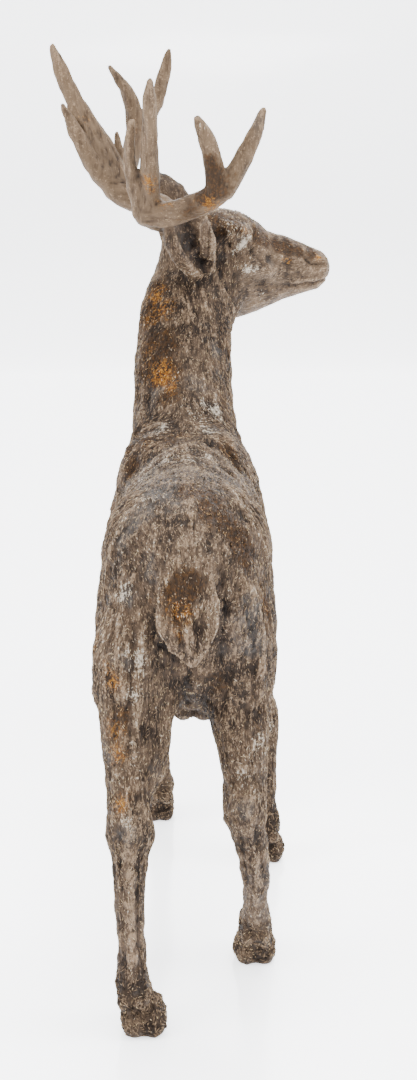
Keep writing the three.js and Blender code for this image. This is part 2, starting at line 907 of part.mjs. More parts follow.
/** The figure sliced level under its feet, brought to its real height and to its origin. */
function standing(wasm, skin) {
  const whole = geometryOf(skin);
  whole.computeBoundingBox();
  const { min, max } = whole.boundingBox;
  const reach = 2 * Math.max(max.x, max.y, -min.x, -min.y);
  const ground = new THREE.BoxGeometry(reach * 2, reach * 2, -min.z * 2);
  ground.translate(0, 0, min.z);
  const sliced = geometryFrom(solidOf(wasm, whole).subtract(solidOf(wasm, ground)));
  sliced.computeBoundingBox();
  const box = sliced.boundingBox;
  const middle = box.getCenter(new THREE.Vector3());
  const mm = HEIGHT / (box.max.z - box.min.z);
  sliced.translate(-middle.x, -middle.y, -box.min.z);
  sliced.scale(mm, mm, mm);
  sliced.computeVertexNormals();
  return sliced;
}

const wasm = await Module();
wasm.setup();

const sampled = new SampledForm(FORM.map(spansOf));
const skin = thinned(settled(skinOf(sampled), sampled), FACETS);

const stag = new THREE.Mesh(
  standing(wasm, skin),
  new THREE.MeshStandardMaterial({ color: 0x6b5a4a, roughness: 0.8, metalness: 0.5 }),
);
stag.name = "stag";

const figure = new THREE.Group();
figure.add(stag);

export default figure;
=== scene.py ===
"""A weathered cast stag, seen from behind on a plain pale floor."""

from __future__ import annotations

import json
import logging
import math
from collections.abc import Sequence
from dataclasses import dataclass, field
from enum import Enum
from typing import ClassVar

import bmesh
import bpy
import numpy as np
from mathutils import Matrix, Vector

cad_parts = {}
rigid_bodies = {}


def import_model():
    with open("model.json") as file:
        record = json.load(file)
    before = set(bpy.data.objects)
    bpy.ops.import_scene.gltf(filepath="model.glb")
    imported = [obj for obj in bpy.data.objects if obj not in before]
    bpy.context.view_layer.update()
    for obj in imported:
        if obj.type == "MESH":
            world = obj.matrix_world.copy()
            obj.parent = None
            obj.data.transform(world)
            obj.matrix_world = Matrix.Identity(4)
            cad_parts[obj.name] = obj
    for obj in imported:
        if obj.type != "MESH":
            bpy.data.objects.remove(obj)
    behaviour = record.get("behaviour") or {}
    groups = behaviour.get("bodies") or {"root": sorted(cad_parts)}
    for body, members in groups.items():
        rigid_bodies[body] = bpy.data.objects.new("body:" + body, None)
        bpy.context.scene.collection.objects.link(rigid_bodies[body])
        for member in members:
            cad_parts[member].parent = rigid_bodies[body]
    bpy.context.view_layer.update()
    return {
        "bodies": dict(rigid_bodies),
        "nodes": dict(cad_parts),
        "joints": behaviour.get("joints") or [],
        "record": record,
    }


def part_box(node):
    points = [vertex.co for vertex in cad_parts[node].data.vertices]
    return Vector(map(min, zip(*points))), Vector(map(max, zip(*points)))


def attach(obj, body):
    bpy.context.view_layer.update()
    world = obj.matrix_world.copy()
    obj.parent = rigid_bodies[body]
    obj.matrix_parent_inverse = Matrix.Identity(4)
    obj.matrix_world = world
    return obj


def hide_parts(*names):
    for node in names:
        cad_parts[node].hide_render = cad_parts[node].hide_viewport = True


LOG = logging.getLogger("stag")
INSET = 1e-5
MERGED = 1e-6
Triple = tuple[float, float, float]
Numbers = np.ndarray


class Grain(Enum):
    """What kind of surface a line of the form carries."""

    COAT = "coat"
    HEAD = "head"
    HORN = "horn"
    EAR = "ear"
    FOOT = "foot"
    TAIL = "tail"


@dataclass(frozen=True)
class FormFrame:
    """Turns thousandths of the figure's height into metres of the part's frame.

    The form's ground is at zero, and its middle plane is at zero across.
    """

    low: Triple
    high: Triple
    form_height: float = 993.95
    middle: tuple[float, float] = (15.92, 52.92)

    @property
    def unit(self) -> float:
        """Metres in one thousandth of the height."""
        return (self.high[2] - self.low[2]) / self.form_height

    def metres(self, points: Numbers | Sequence) -> Numbers:
        """Places points of the form in the part's frame.

        Args:
            points: One point or rows of points, in thousandths of the height.

        Returns:
            The same points in metres.
        """
        rows = np.asarray(points, dtype=float)
        shift = np.array([self.middle[0], self.middle[1], 0.0])
        return (rows - shift) * self.unit + np.array([0.0, 0.0, self.low[2]])

    def form(self, points: Numbers) -> Numbers:
        """Takes points of the part's frame back to thousandths of the height."""
        shift = np.array([self.middle[0], self.middle[1], 0.0])
        return (points - np.array([0.0, 0.0, self.low[2]])) / self.unit + shift


@dataclass(frozen=True)
class HeadFrame:
    """The head's own directions: forward to the nose, up, and out to its right."""

    crown: Triple = (35.0, 300.0, 785.0)
    turn: float = 60.0
    nod: float = 8.0
    tilt: float = 16.0

    def axes(self) -> tuple[Numbers, Numbers, Numbers]:
        """Works out the head's directions in the body's frame.

        Returns:
            The forward, up and right directions.
        """
        yaw, pitch, roll = (math.radians(a) for a in (self.turn, self.nod, self.tilt))
        forward = np.array(
            [
                math.sin(yaw) * math.cos(pitch),
                math.cos(yaw) * math.cos(pitch),
                -math.sin(pitch),
            ]
        )
        level = np.array([math.cos(yaw), -math.sin(yaw), 0.0])
        upright = np.cross(level, forward)
        right = level * math.cos(roll) - upright * math.sin(roll)
        up = upright * math.cos(roll) + level * math.sin(roll)
        return forward, up, right

    def place(self, points: Sequence) -> Numbers:
        """Moves rows of forward, up and out on to the form.

        Args:
            points: Rows of forward, up and out, in thousandths of the height.

        Returns:
            Rows of x, y and z in the form's units.
        """
        rows = np.asarray(points, dtype=float).reshape(-1, 3)
        forward, up, right = self.axes()
        return (
            np.array(self.crown)
            + rows[:, :1] * forward
            + rows[:, 1:2] * up
            + rows[:, 2:3] * right
        )


HEAD = HeadFrame()


@dataclass(frozen=True)
class Rise:
    """A share that goes from 0 at one height to 1 at another, above it or below."""

    start: float
    end: float

    def at(self, points: Numbers) -> Numbers:
        """The share at each point."""
        return np.clip((points[:, 2] - self.start) / (self.end - self.start), 0.0, 1.0)


@dataclass(frozen=True)
class Levels:
    """Heights at which the working of the surface changes, in the form's units."""

    soles: Rise = Rise(1.5, 5.5)
    standing: Rise = Rise(3.0, 11.0)
    furred: Rise = Rise(5.0, 9.0)
    feet: Rise = Rise(80.0, 66.0)
    fetlocks: Rise = Rise(95.0, 35.0)
    shanks: Rise = Rise(190.0, 130.0)
    # Below here the painted shade grows darker towards the bottom.
    underside: Rise = Rise(330.0, 170.0)


LEVELS = Levels()


@dataclass(frozen=True)
class Strand:
    """A line that the hair, or the grain of an antler, follows from root to tip."""

    grain: Grain
    girth: float
    points: tuple[Triple, ...]
    on_head: bool = False

    def line(self) -> Numbers:
        """The strand's points in the form's units."""
        return HEAD.place(self.points) if self.on_head else np.array(self.points, dtype=float)


STRANDS: tuple[Strand, ...] = (
    Strand(Grain.COAT, 80, ((4, 235, 440), (4, 150, 450), (3, 40, 450), (0, -140, 475), (0, -205, 462))),
    Strand(Grain.COAT, 30, ((-14, -212, 500), (-26, -240, 470), (-30, -240, 410), (-30, -220, 345))),
    Strand(Grain.COAT, 30, ((14, -212, 500), (28, -240, 470), (34, -236, 410), (30, -210, 345))),
    Strand(Grain.COAT, 26, ((2, -230, 440), (2, -215, 380), (2, -195, 330))),
    Strand(Grain.COAT, 58, ((20, 292, 752), (8, 280, 700), (-1, 250, 620), (0, 200, 520), (2, 150, 430))),
    Strand(Grain.COAT, 30, ((-50, 110, 520), (-65, 180, 432), (-64, 132, 350), (-46, 175, 240))),
    Strand(Grain.COAT, 30, ((52, 110, 520), (71, 176, 428), (78, 114, 350), (90, 115, 240))),
    Strand(Grain.COAT, 17, ((-40, 190, 240), (-38, 196, 184), (-35, 222, 60))),
    Strand(Grain.COAT, 17, ((92, 115, 240), (95, 116, 184), (99, 107, 60))),
    Strand(Grain.COAT, 44, ((-45, -170, 500), (-62, -160, 400), (-66, -150, 330), (-60, -240, 270))),
    Strand(Grain.COAT, 44, ((45, -160, 500), (62, -150, 400), (60, -130, 330), (60, -190, 265))),
    Strand(Grain.COAT, 34, ((-40, -228, 450), (-50, -228, 384), (-55, -240, 318), (-57, -282, 235))),
    Strand(Grain.COAT, 34, ((42, -224, 450), (52, -216, 384), (56, -210, 318), (58, -214, 230))),
    Strand(Grain.COAT, 18, ((-57, -282, 235), (-57, -280, 150), (-55, -268, 62))),
    Strand(Grain.COAT, 18, ((58, -214, 230), (71, -192, 136), (73, -148, 62))),
    Strand(Grain.FOOT, 20, ((-55, -268, 56), (-48, -262, 20), (-46, -262, 0))),
    Strand(Grain.FOOT, 20, ((73, -146, 56), (74, -126, 20), (74, -120, 0))),
    Strand(Grain.FOOT, 20, ((-35, 224, 56), (-37, 242, 20), (-37, 248, 0))),
    Strand(Grain.FOOT, 20, ((99, 106, 56), (101, 118, 20), (101, 124, 0))),
    Strand(Grain.TAIL, 20, ((2, -246, 500), (0, -285, 450), (1, -292, 424), (3, -288, 400))),
    Strand(Grain.HEAD, 42, ((200, -50, 0), (150, -50, 0), (90, -58, 0), (20, -56, 0), (-44, -60, 0)), True),
    Strand(Grain.EAR, 20, ((-20, -56, 38), (-66, -8, 62), (-96, 34, 80)), True),
    Strand(Grain.EAR, 20, ((-16, -52, -38), (-32, 0, -66), (-43, 36, -86)), True),
    Strand(
        Grain.HORN,
        14,
        ((-24, -10, 26), (-60, 2, 34), (-98, 2, 42), (-125, 11, 54), (-110, 17, 74), (-96, 34, 95),
         (-79, 69, 126)),
        True,
    ),
    Strand(Grain.HORN, 10, ((-75, 70, 128), (-60, 123, 132), (-52, 166, 129)), True),
    Strand(Grain.HORN, 10, ((-86, 74, 127), (-103, 108, 126), (-128, 142, 119)), True),
    Strand(Grain.HORN, 10, ((-124, 18, 56), (-148, 68, 75), (-172, 115, 95), (-201, 171, 122)), True),
    Strand(Grain.HORN, 8, ((-130, 16, 52), (-164, 62, 61), (-184, 120, 75)), True),
    Strand(
        Grain.HORN,
        14,
        ((-24, -10, -26), (-58, 0, -34), (-92, 0, -42), (-113, 8, -55), (-82, 34, -95), (-69, 80, -123)),
        True,
    ),
    Strand(Grain.HORN, 10, ((-67, 72, -123), (-45, 112, -131), (-46, 174, -129)), True),
    Strand(Grain.HORN, 9, ((-72, 82, -124), (-101, 121, -123), (-128, 142, -119)), True),
    Strand(Grain.HORN, 12, ((-105, 12, -58), (-147, 67, -92), (-208, 150, -122)), True),
    Strand(Grain.HORN, 10, ((-112, 8, -55), (-159, 44, -68), (-197, 93, -80)), True),
    Strand(Grain.HORN, 5, ((-92, 28, -82), (-107, 68, -100)), True),
)


class Bloom(Enum):
    """What weather has left on the metal; the soot is partly painted shade under the body and in its
    creases.
    """

    RUST = "rust"
    LIME = "lime"
    SOOT = "soot"
    SIENNA = "sienna"
    SLATE = "slate"


RUST_SPREAD = 1.4


@dataclass(frozen=True)
class Patch:
    """A place where a bloom has gathered, in the form's units."""

    at: Triple
    reach: float
    strength: float

    def cover(self, points: Numbers, spread: float) -> Numbers:
        """How strongly it marks each point, with its reach spread by a factor."""
        off = np.linalg.norm(points - np.array(self.at), axis=1) / (self.reach * spread)
        return self.strength * np.exp(-(off**2))


PATCHES: dict[Bloom, tuple[Patch, ...]] = {
    Bloom.RUST: (
        Patch((135, 342, 731), 4, 1.3), Patch((127, 336, 734), 3, 1.0), Patch((176, 373, 732), 4, 1.2),
        Patch((-41, 150, 836), 10, 1.1), Patch((-40, 157, 825), 8, 1.0), Patch((-121, 279, 907), 9, 0.5),
        Patch((-33, 250, 694), 15, 1.0), Patch((-26, 232, 680), 18, 1.0), Patch((-39, 234, 668), 16, 0.9),
        Patch((-40, 210, 638), 14, 0.5), Patch((-28, 176, 606), 17, 1.1), Patch((-17, 164, 598), 14, 1.0),
        Patch((-7, -298, 458), 15, 0.7), Patch((-6, -303, 433), 8, 0.7), Patch((-90, -230, 408), 11, 0.9),
        Patch((-79, -264, 390), 9, 0.9), Patch((-73, -269, 376), 10, 1.0), Patch((-73, -268, 330), 14, 0.9),
        Patch((-67, -278, 304), 13, 0.9), Patch((-66, -297, 266), 12, 0.8), Patch((-24, 164, 812), 9, 0.9),
        Patch((29, 137, 808), 12, 0.8), Patch((76, 280, 774), 7, 1.0), Patch((80, -212, 432), 14, 0.5),
        Patch((-76, 112, 520), 14, 0.5), Patch((84, 130, 330), 16, 0.5), Patch((-74, 300, 900), 12, 0.5),
        Patch((60, 70, 536), 12, 0.4),
    ),
    Bloom.LIME: (
        Patch((80, 282, 762), 4, 1.0), Patch((74, 278, 758), 6, 1.4), Patch((69, 281, 751), 6, 1.4),
        Patch((63, 281, 746), 6, 1.3), Patch((57, 280, 740), 6, 1.1), Patch((79, 291, 723), 9, 1.0),
        Patch((91, 298, 725), 6, 0.8), Patch((70, 293, 713), 7, 0.7), Patch((100, 326, 692), 9, 0.7),
        Patch((20, 107, 896), 8, 1.0), Patch((33, 141, 568), 10, 1.2), Patch((42, 144, 561), 8, 1.0),
        Patch((22, 144, 577), 9, 0.8), Patch((-28, 106, 553), 12, 1.2), Patch((25, 98, 553), 11, 1.2),
        Patch((35, 144, 567), 16, 1.0), Patch((14, 124, 567), 13, 0.8), Patch((-27, 6, 535), 20, 0.8),
        Patch((-46, -24, 524), 16, 0.8), Patch((0, -16, 541), 18, 0.6), Patch((22, 16, 541), 14, 0.6),
        Patch((-60, -248, 460), 10, 1.0), Patch((-48, -270, 398), 12, 0.8),
        Patch((-54, -272, 368), 10, 0.7), Patch((70, -226, 298), 10, 0.7), Patch((55, -235, 262), 9, 0.7),
        Patch((102, 97, 186), 9, 1.2), Patch((-59, -308, 246), 9, 0.8), Patch((78, 313, 682), 12, 0.5),
        Patch((103, 335, 683), 10, 0.5), Patch((-66, -220, 485), 12, 0.6), Patch((-36, -190, 538), 16, 0.5),
        Patch((44, -236, 490), 10, 0.5),
    ),
    # Soot, and painted shade: the wide patches under the chest and belly, between the thighs and beside the
    # tail.
    Bloom.SOOT: (
        Patch((50, 271, 759), 8, 0.9), Patch((-1, -234, 364), 12, 0.7), Patch((-27, -258, 414), 10, 0.4),
        Patch((-41, 68, 534), 12, 0.8), Patch((54, -200, 518), 18, 0.5), Patch((10, 232, 752), 18, 0.7),
        Patch((5, 150, 320), 40, 0.5), Patch((-30, -215, 470), 20, 0.3), Patch((-14, -30, 300), 40, 0.4),
    ),
    Bloom.SIENNA: (
        Patch((42, 278, 786), 15, 1.2), Patch((57, 275, 783), 15, 1.3), Patch((67, 273, 777), 9, 1.1),
        Patch((47, 268, 773), 11, 1.0), Patch((90, 303, 764), 12, 1.0), Patch((104, 316, 757), 11, 1.1),
        Patch((118, 331, 751), 11, 1.1), Patch((132, 343, 746), 11, 1.1), Patch((148, 354, 742), 9, 1.0),
        Patch((166, 369, 740), 10, 0.9), Patch((27, -222, 530), 21, 1.2), Patch((41, -226, 516), 19, 1.2),
        Patch((51, -227, 501), 18, 1.1), Patch((57, -229, 487), 12, 0.8), Patch((23, -202, 541), 14, 0.8),
        Patch((31, 126, 828), 15, 1.4), Patch((31, 121, 843), 13, 1.3), Patch((29, 115, 858), 9, 0.9),
        Patch((21, 139, 819), 13, 1.1), Patch((-48, 90, 540), 13, 1.0), Patch((-62, 87, 515), 15, 1.0),
        Patch((6, -194, 547), 20, 0.6), Patch((30, -190, 542), 20, 0.5), Patch((-7, -290, 472), 15, 1.0),
        Patch((2, -284, 484), 16, 0.9), Patch((-6, -299, 452), 14, 0.8), Patch((-60, 134, 534), 18, 0.9),
        Patch((-70, 118, 522), 18, 0.8), Patch((51, 74, 528), 18, 0.8), Patch((-16, 76, 547), 14, 0.7),
        Patch((80, -210, 430), 22, 0.7), Patch((-68, -270, 338), 18, 0.7), Patch((-86, -236, 400), 18, 0.7),
        Patch((-43, 240, 672), 24, 1.0), Patch((-33, 206, 640), 26, 1.1), Patch((-24, 176, 611), 22, 1.0),
        Patch((-45, 200, 616), 22, 0.9), Patch((-16, 150, 586), 20, 0.8), Patch((-33, 254, 700), 18, 0.9),
        Patch((8, 156, 804), 14, 0.7), Patch((-26, 170, 836), 14, 0.7), Patch((-90, 150, 455), 22, 0.6),
        Patch((94, 120, 440), 22, 0.6), Patch((-92, -180, 400), 22, 0.5),
    ),
    Bloom.SLATE: (
        Patch((112, 319, 727), 11, 1.1), Patch((83, 130, 900), 14, 1.1), Patch((77, 128, 884), 10, 0.8),
        Patch((-76, -200, 485), 18, 0.7), Patch((-66, -210, 503), 18, 0.8),
        Patch((-58, -248, 456), 14, 0.8), Patch((62, -245, 434), 16, 0.9), Patch((57, -252, 453), 12, 0.7),
        Patch((66, -240, 408), 16, 0.9), Patch((-12, -223, 536), 22, 0.6), Patch((-25, -178, 545), 26, 0.8),
        Patch((-51, -208, 522), 22, 0.8), Patch((25, 98, 553), 14, 0.8), Patch((55, -239, 230), 14, 0.9),
        Patch((-59, -308, 236), 12, 0.8), Patch((37, 207, 633), 22, 0.5), Patch((-94, 282, 870), 18, 0.4),
        Patch((-10, -60, 543), 30, 0.5), Patch((-56, -262, 330), 16, 0.5), Patch((40, -80, 536), 30, 0.6),
        Patch((-66, -250, 400), 20, 0.6), Patch((-40, 160, 585), 24, 0.5), Patch((30, 170, 600), 24, 0.5),
        Patch((-30, -240, 500), 22, 0.6),
    ),
}


@dataclass(frozen=True)
class Stroke:
    """A line worked into the pattern with a modelling tool.

    A positive height leaves a ridge and a negative one a groove.
    """

    points: tuple[Triple, ...]
    width: float
    height: float
    on_head: bool = True

    def line(self) -> Numbers:
        """The stroke's points in the form's units."""
        return HEAD.place(self.points) if self.on_head else np.array(self.points, dtype=float)


def face_strokes(side: int) -> list[Stroke]:
    """The lines of one side of the face.

    Args:
        side: 1 for the animal's right, -1 for its left.

    Returns:
        Strokes in the head's frame.
    """
    rows: tuple[tuple[tuple[Triple, ...], float, float], ...] = (
        # Brow, and the eye between its lids
        (((4, 9, 38), (18, 8, 40), (28, 0, 43), (38, -8, 42), (61, -20, 35), (100, -28, 26)), 3.6, 1.5),
        (((12, -10, 42), (20, -4, 44), (30, -5, 44), (41, -14, 42)), 2.3, 0.9),
        (((12, -13, 42), (20, -22, 43), (31, -23, 43), (41, -16, 42)), 2.3, 0.7),
        (((16, -13, 43), (26, -13, 44), (36, -15, 43)), 2.6, -0.9),
        (((10, -18, 42), (18, -30, 42), (32, -32, 40), (46, -24, 38)), 3.0, -1.8),
        # Hollow behind the eye, and the tear line
        (((-12, -10, 40), (-2, -14, 39), (6, -18, 39), (8, -28, 40)), 6.5, -1.6),
        (((44, -24, 38), (56, -33, 36), (66, -40, 34)), 3.0, -2.4),
        # Cheekbone and the hollows of the cheek
        (((8, -42, 42), (40, -45, 39), (76, -48, 34)), 5.5, 1.6),
        (((48, -58, 38), (84, -66, 34), (118, -66, 28)), 5.5, -1.6),
        (((74, -34, 32), (96, -38, 29), (118, -38, 25)), 5.0, -1.8),
        # Nostril and its rims
        (((136, -25, 18), (146, -33, 20), (156, -37, 20), (166, -35, 20), (176, -32, 19)), 2.5, -3.2),
        (((138, -18, 17), (156, -23, 18), (174, -24, 17), (186, -27, 14)), 3.2, 1.5),
        (((150, -43, 22), (164, -44, 21), (178, -42, 19)), 4.0, 1.2),
        # Mouth and lips
        (((124, -67, 26), (138, -66, 25), (152, -63, 23), (170, -59, 20), (184, -55, 17),
          (195, -55, 9)), 2.3, -2.6),
        (((130, -60, 26), (150, -57, 24), (170, -53, 21), (186, -49, 17)), 2.6, 1.3),
        (((140, -73, 21), (158, -71, 19), (176, -66, 14)), 3.0, 1.2),
        # Jaw
        (((126, -74, 24), (104, -86, 25), (76, -96, 28)), 4.0, 1.0),
        (((4, -54, 44), (8, -74, 42), (22, -94, 40), (44, -108, 34)), 6.0, -2.6),
        (((-8, -50, 46), (-6, -76, 46), (8, -104, 40)), 5.0, 1.6),
    )
    return [Stroke(tuple((f, u, o * side) for f, u, o in line), w, h) for line, w, h in rows]


def ear_strokes() -> list[Stroke]:
    """The rims, the deep hollows and the hair tufts of both ears.

    Returns:
        Strokes in the head's frame.
    """
    rows: tuple[tuple[tuple[Triple, ...], float, float], ...] = (
        # Right ear: the hollow and its rims
        (((-84, 14, 70), (-76, 5, 66), (-65, -3, 62), (-56, -16, 58), (-46, -27, 54),
          (-36, -38, 50)), 6.5, -3.4),
        (((-104, 14, 80), (-98, 3, 77), (-85, -14, 72), (-60, -34, 62), (-44, -47, 57),
          (-32, -52, 52)), 5.5, 0.8),
        (((-58, 26, 70), (-51, 17, 68), (-40, 3, 65), (-30, -15, 59), (-22, -32, 53),
          (-22, -46, 49)), 2.2, 2.4),
        (((-62, 12, 64), (-54, 1, 60), (-42, -18, 54), (-31, -36, 48)), 2.2, 3.0),
        (((-58, 12, 68), (-48, 0, 63), (-37, -16, 57), (-28, -34, 51)), 5.0, 3.2),
        (((-52, 18, 68), (-44, 8, 64), (-34, -8, 60), (-26, -26, 53)), 1.8, -1.4),
        (((-90, 2, 74), (-76, -12, 70), (-58, -28, 62)), 4.0, -1.6),
        # Right ear: pits and tufts of hair
        (((-52, -19, 55), (-48, -22, 54)), 2.6, -3.4),
        (((-30, -40, 47), (-27, -44, 46)), 2.6, -3.0),
        (((-72, 6, 62), (-64, 3, 60)), 2.4, -2.8),
        (((-74, -4, 62), (-68, -1, 60), (-64, -6, 60)), 1.9, 3.2),
        (((-66, -14, 60), (-62, -9, 58), (-56, -12, 57)), 1.9, 3.4),
        (((-60, -4, 60), (-56, -2, 58), (-52, -8, 57)), 1.9, 3.0),
        (((-50, -30, 54), (-46, -24, 53), (-42, -28, 51)), 1.9, 3.2),
        (((-70, 10, 64), (-62, 8, 62)), 1.9, 2.6),
        # Left ear: the hollow and its rims
        (((-14, -34, -56), (-18, -8, -72), (-26, 14, -84), (-34, 28, -92)), 7.0, -5.0),
        (((-40, -40, -46), (-50, -4, -66), (-54, 22, -78), (-46, 38, -86)), 2.6, 1.8),
        (((-6, -40, -50), (-12, -6, -72), (-24, 22, -88), (-40, 38, -90)), 2.6, 1.8),
    )
    return [Stroke(line, width, height) for line, width, height in rows]


def body_strokes() -> list[Stroke]:
    """The lines of the muscles, back, tail and legs.

    Returns:
        Strokes in the form's own frame.
    """
    rows: tuple[tuple[tuple[Triple, ...], float, float], ...] = (
        # Grooves and ridges across the back
        (((-62, -84, 500), (-47, -63, 525), (-36, -54, 532), (-20, -66, 539), (0, -78, 544),
          (24, -74, 540)), 6, -2.4),
        (((-74, 10, 460), (-64, 14, 500), (-47, 45, 524), (-33, 55, 537), (-14, 62, 543)), 6, -2.8),
        (((74, 16, 460), (64, 56, 505), (54, 78, 522), (44, 78, 533), (24, 70, 543)), 6, -2.8),
        (((-66, -14, 492), (-45, 14, 524), (-24, 32, 539), (1, 36, 545), (24, 46, 543), (44, 30, 530),
          (62, -20, 500)), 4.5, 2.5),
        (((-70, -52, 476), (-40, -4, 527), (-12, -20, 540), (10, -24, 541), (30, -28, 535),
          (46, -53, 526), (66, -96, 488)), 4.0, 2.2),
        (((-60, -22, 502), (-30, 14, 535), (-7, 12, 542), (10, 12, 542), (31, 14, 536),
          (50, 0, 518)), 4, -1.7),
        (((-76, -70, 450), (-56, -40, 506), (-34, -26, 532), (-10, -42, 541)), 4, -1.4),
        (((74, -90, 450), (60, -60, 508), (40, -44, 532), (16, -50, 541)), 4, -1.4),
        # Shoulder blades
        (((8, 96, 551), (29, 116, 557), (47, 105, 547), (56, 87, 531), (62, 67, 512),
          (70, 58, 470)), 6, 2.2),
        (((-70, 80, 470), (-64, 108, 515), (-58, 130, 538), (-41, 131, 553), (-22, 108, 554)), 6, 2.2),
        (((-66, 82, 505), (-58, 90, 526), (-50, 92, 538), (-38, 90, 546)), 6, -2.4),
        (((62, 66, 500), (52, 78, 524), (40, 88, 542)), 5, -2.4),
        # Tail
        (((-17, -277, 489), (-22, -284, 476), (-28, -288, 460), (-31, -291, 442), (-27, -294, 430),
          (-12, -297, 412), (-2, -294, 403)), 2.8, 0.9),
        (((23, -276, 486), (28, -282, 474), (32, -286, 458), (31, -290, 444), (25, -297, 434),
          (11, -297, 412), (2, -294, 403)), 2.8, 0.9),
        (((-33, -261, 420), (-29, -259, 412), (-22, -254, 405), (-14, -249, 394)), 3.0, -2.4),
        (((-26, -262, 484), (-33, -262, 458), (-37, -262, 440)), 4.0, -1.0),
        (((35, -264, 459), (36, -262, 447)), 2.4, -2.4),
        (((30, -262, 482), (36, -264, 460), (37, -262, 445), (34, -258, 430), (28, -255, 416),
          (20, -252, 404), (8, -250, 394)), 3.6, -1.4),
        (((0, -300, 452), (-1, -303, 440), (0, -303, 430), (2, -301, 414)), 2.6, 2.0),
        (((-7, -299, 446), (-7, -300, 430), (-4, -299, 416)), 2.4, -1.8),
        (((7, -301, 446), (8, -301, 430), (7, -300, 418)), 2.4, -1.8),
        (((-12, -282, 488), (-17, -290, 470), (-21, -295, 448)), 2.8, -1.7),
        (((16, -284, 484), (22, -292, 464), (23, -296, 448)), 2.8, -1.3),
        # Cleft between the thighs
        (((4, -250, 392), (3, -244, 380), (-1, -234, 360), (-2, -221, 343), (0, -200, 330)), 5, -4.0),
        # Thighs
        (((-45, -262, 430), (-45, -267, 408), (-46, -269, 389), (-49, -270, 359), (-51, -271, 328),
          (-54, -276, 290)), 4, 2.2),
        (((-53, -262, 432), (-53, -270, 405), (-55, -272, 385), (-57, -273, 360),
          (-59, -272, 326)), 4, -2.4),
        (((-68, -252, 430), (-74, -264, 400), (-74, -270, 376), (-72, -270, 350),
          (-70, -268, 316)), 4, -2.0),
        (((-60, -228, 480), (-63, -243, 461), (-64, -252, 446), (-66, -261, 427)), 5, 1.7),
        (((62, -246, 462), (65, -242, 450), (70, -237, 432), (73, -234, 414), (74, -230, 385),
          (72, -224, 350)), 4.5, 2.2),
        (((54, -252, 456), (58, -249, 442), (62, -244, 424), (66, -236, 400), (67, -232, 372),
          (66, -226, 344)), 4.5, -2.6),
        (((70, -222, 470), (77, -217, 456), (82, -214, 432), (86, -212, 404), (84, -204, 366)), 4, -1.8),
        (((44, -262, 440), (46, -258, 410), (48, -250, 380), (46, -240, 350)), 6, 1.6),
        # Haunches and flanks
        (((-70, -206, 502), (-75, -208, 486), (-79, -206, 466)), 5, -2.0),
        (((-86, -186, 452), (-79, -197, 479), (-74, -201, 495), (-66, -202, 511), (-56, -198, 525),
          (-40, -180, 539)), 4, 1.6),
        (((84, -182, 452), (75, -192, 492), (67, -195, 508), (57, -188, 525), (42, -160, 541)), 4, 1.6),
        (((-86, -214, 440), (-96, -196, 390), (-94, -190, 340)), 9, -2.0),
        (((84, -200, 440), (92, -176, 390), (88, -160, 340)), 9, -2.0),
        # Spine
        (((2, -230, 528), (2, -180, 549), (2, -120, 552), (2, -40, 546), (2, 40, 546)), 6, 1.5),
        # Shoulders, chest and neck
        (((-72, 84, 510), (-86, 108, 470), (-88, 128, 430), (-80, 120, 380)), 7, -2.4),
        (((74, 84, 510), (88, 104, 470), (92, 118, 430), (90, 100, 380)), 7, -2.4),
        (((-52, 186, 540), (-76, 214, 480), (-72, 226, 430)), 8, -2.6),
        (((52, 184, 540), (78, 210, 480), (78, 220, 430)), 8, -2.6),
        (((-44, 150, 560), (-54, 196, 640), (-44, 228, 700)), 9, -1.6),
        (((50, 150, 560), (60, 200, 640), (56, 240, 690)), 9, -1.6),
        (((-16, 228, 722), (-4, 216, 706), (11, 208, 685)), 3, 1.6),
        (((-4, 226, 722), (8, 214, 704), (24, 210, 680)), 3, -1.6),
        # Legs
        (((-56, -302, 232), (-57, -302, 150), (-56, -290, 70)), 3.2, 2.0),
        (((60, -240, 226), (71, -214, 140), (73, -168, 70)), 3.2, 2.0),
        (((-47, -300, 215), (-48, -298, 150), (-46, -286, 80)), 3.4, -2.0),
        (((-67, -300, 215), (-66, -296, 150), (-65, -284, 80)), 3.4, -2.0),
        (((50, -232, 205), (61, -208, 140), (64, -162, 80)), 3.4, -2.0),
        (((69, -234, 205), (80, -208, 140), (83, -160, 80)), 3.4, -2.0),
        (((-44, -284, 262), (-46, -270, 230), (-46, -266, 200)), 5, -1.8),
        (((72, -214, 258), (78, -196, 226), (82, -186, 196)), 5, -1.8),
        (((-48, 176, 200), (-46, 190, 150), (-44, 212, 90)), 3.4, -1.6),
        (((86, 98, 200), (89, 98, 150), (92, 92, 90)), 3.4, -1.6),
    )
    return [Stroke(points, width, height, False) for points, width, height in rows]


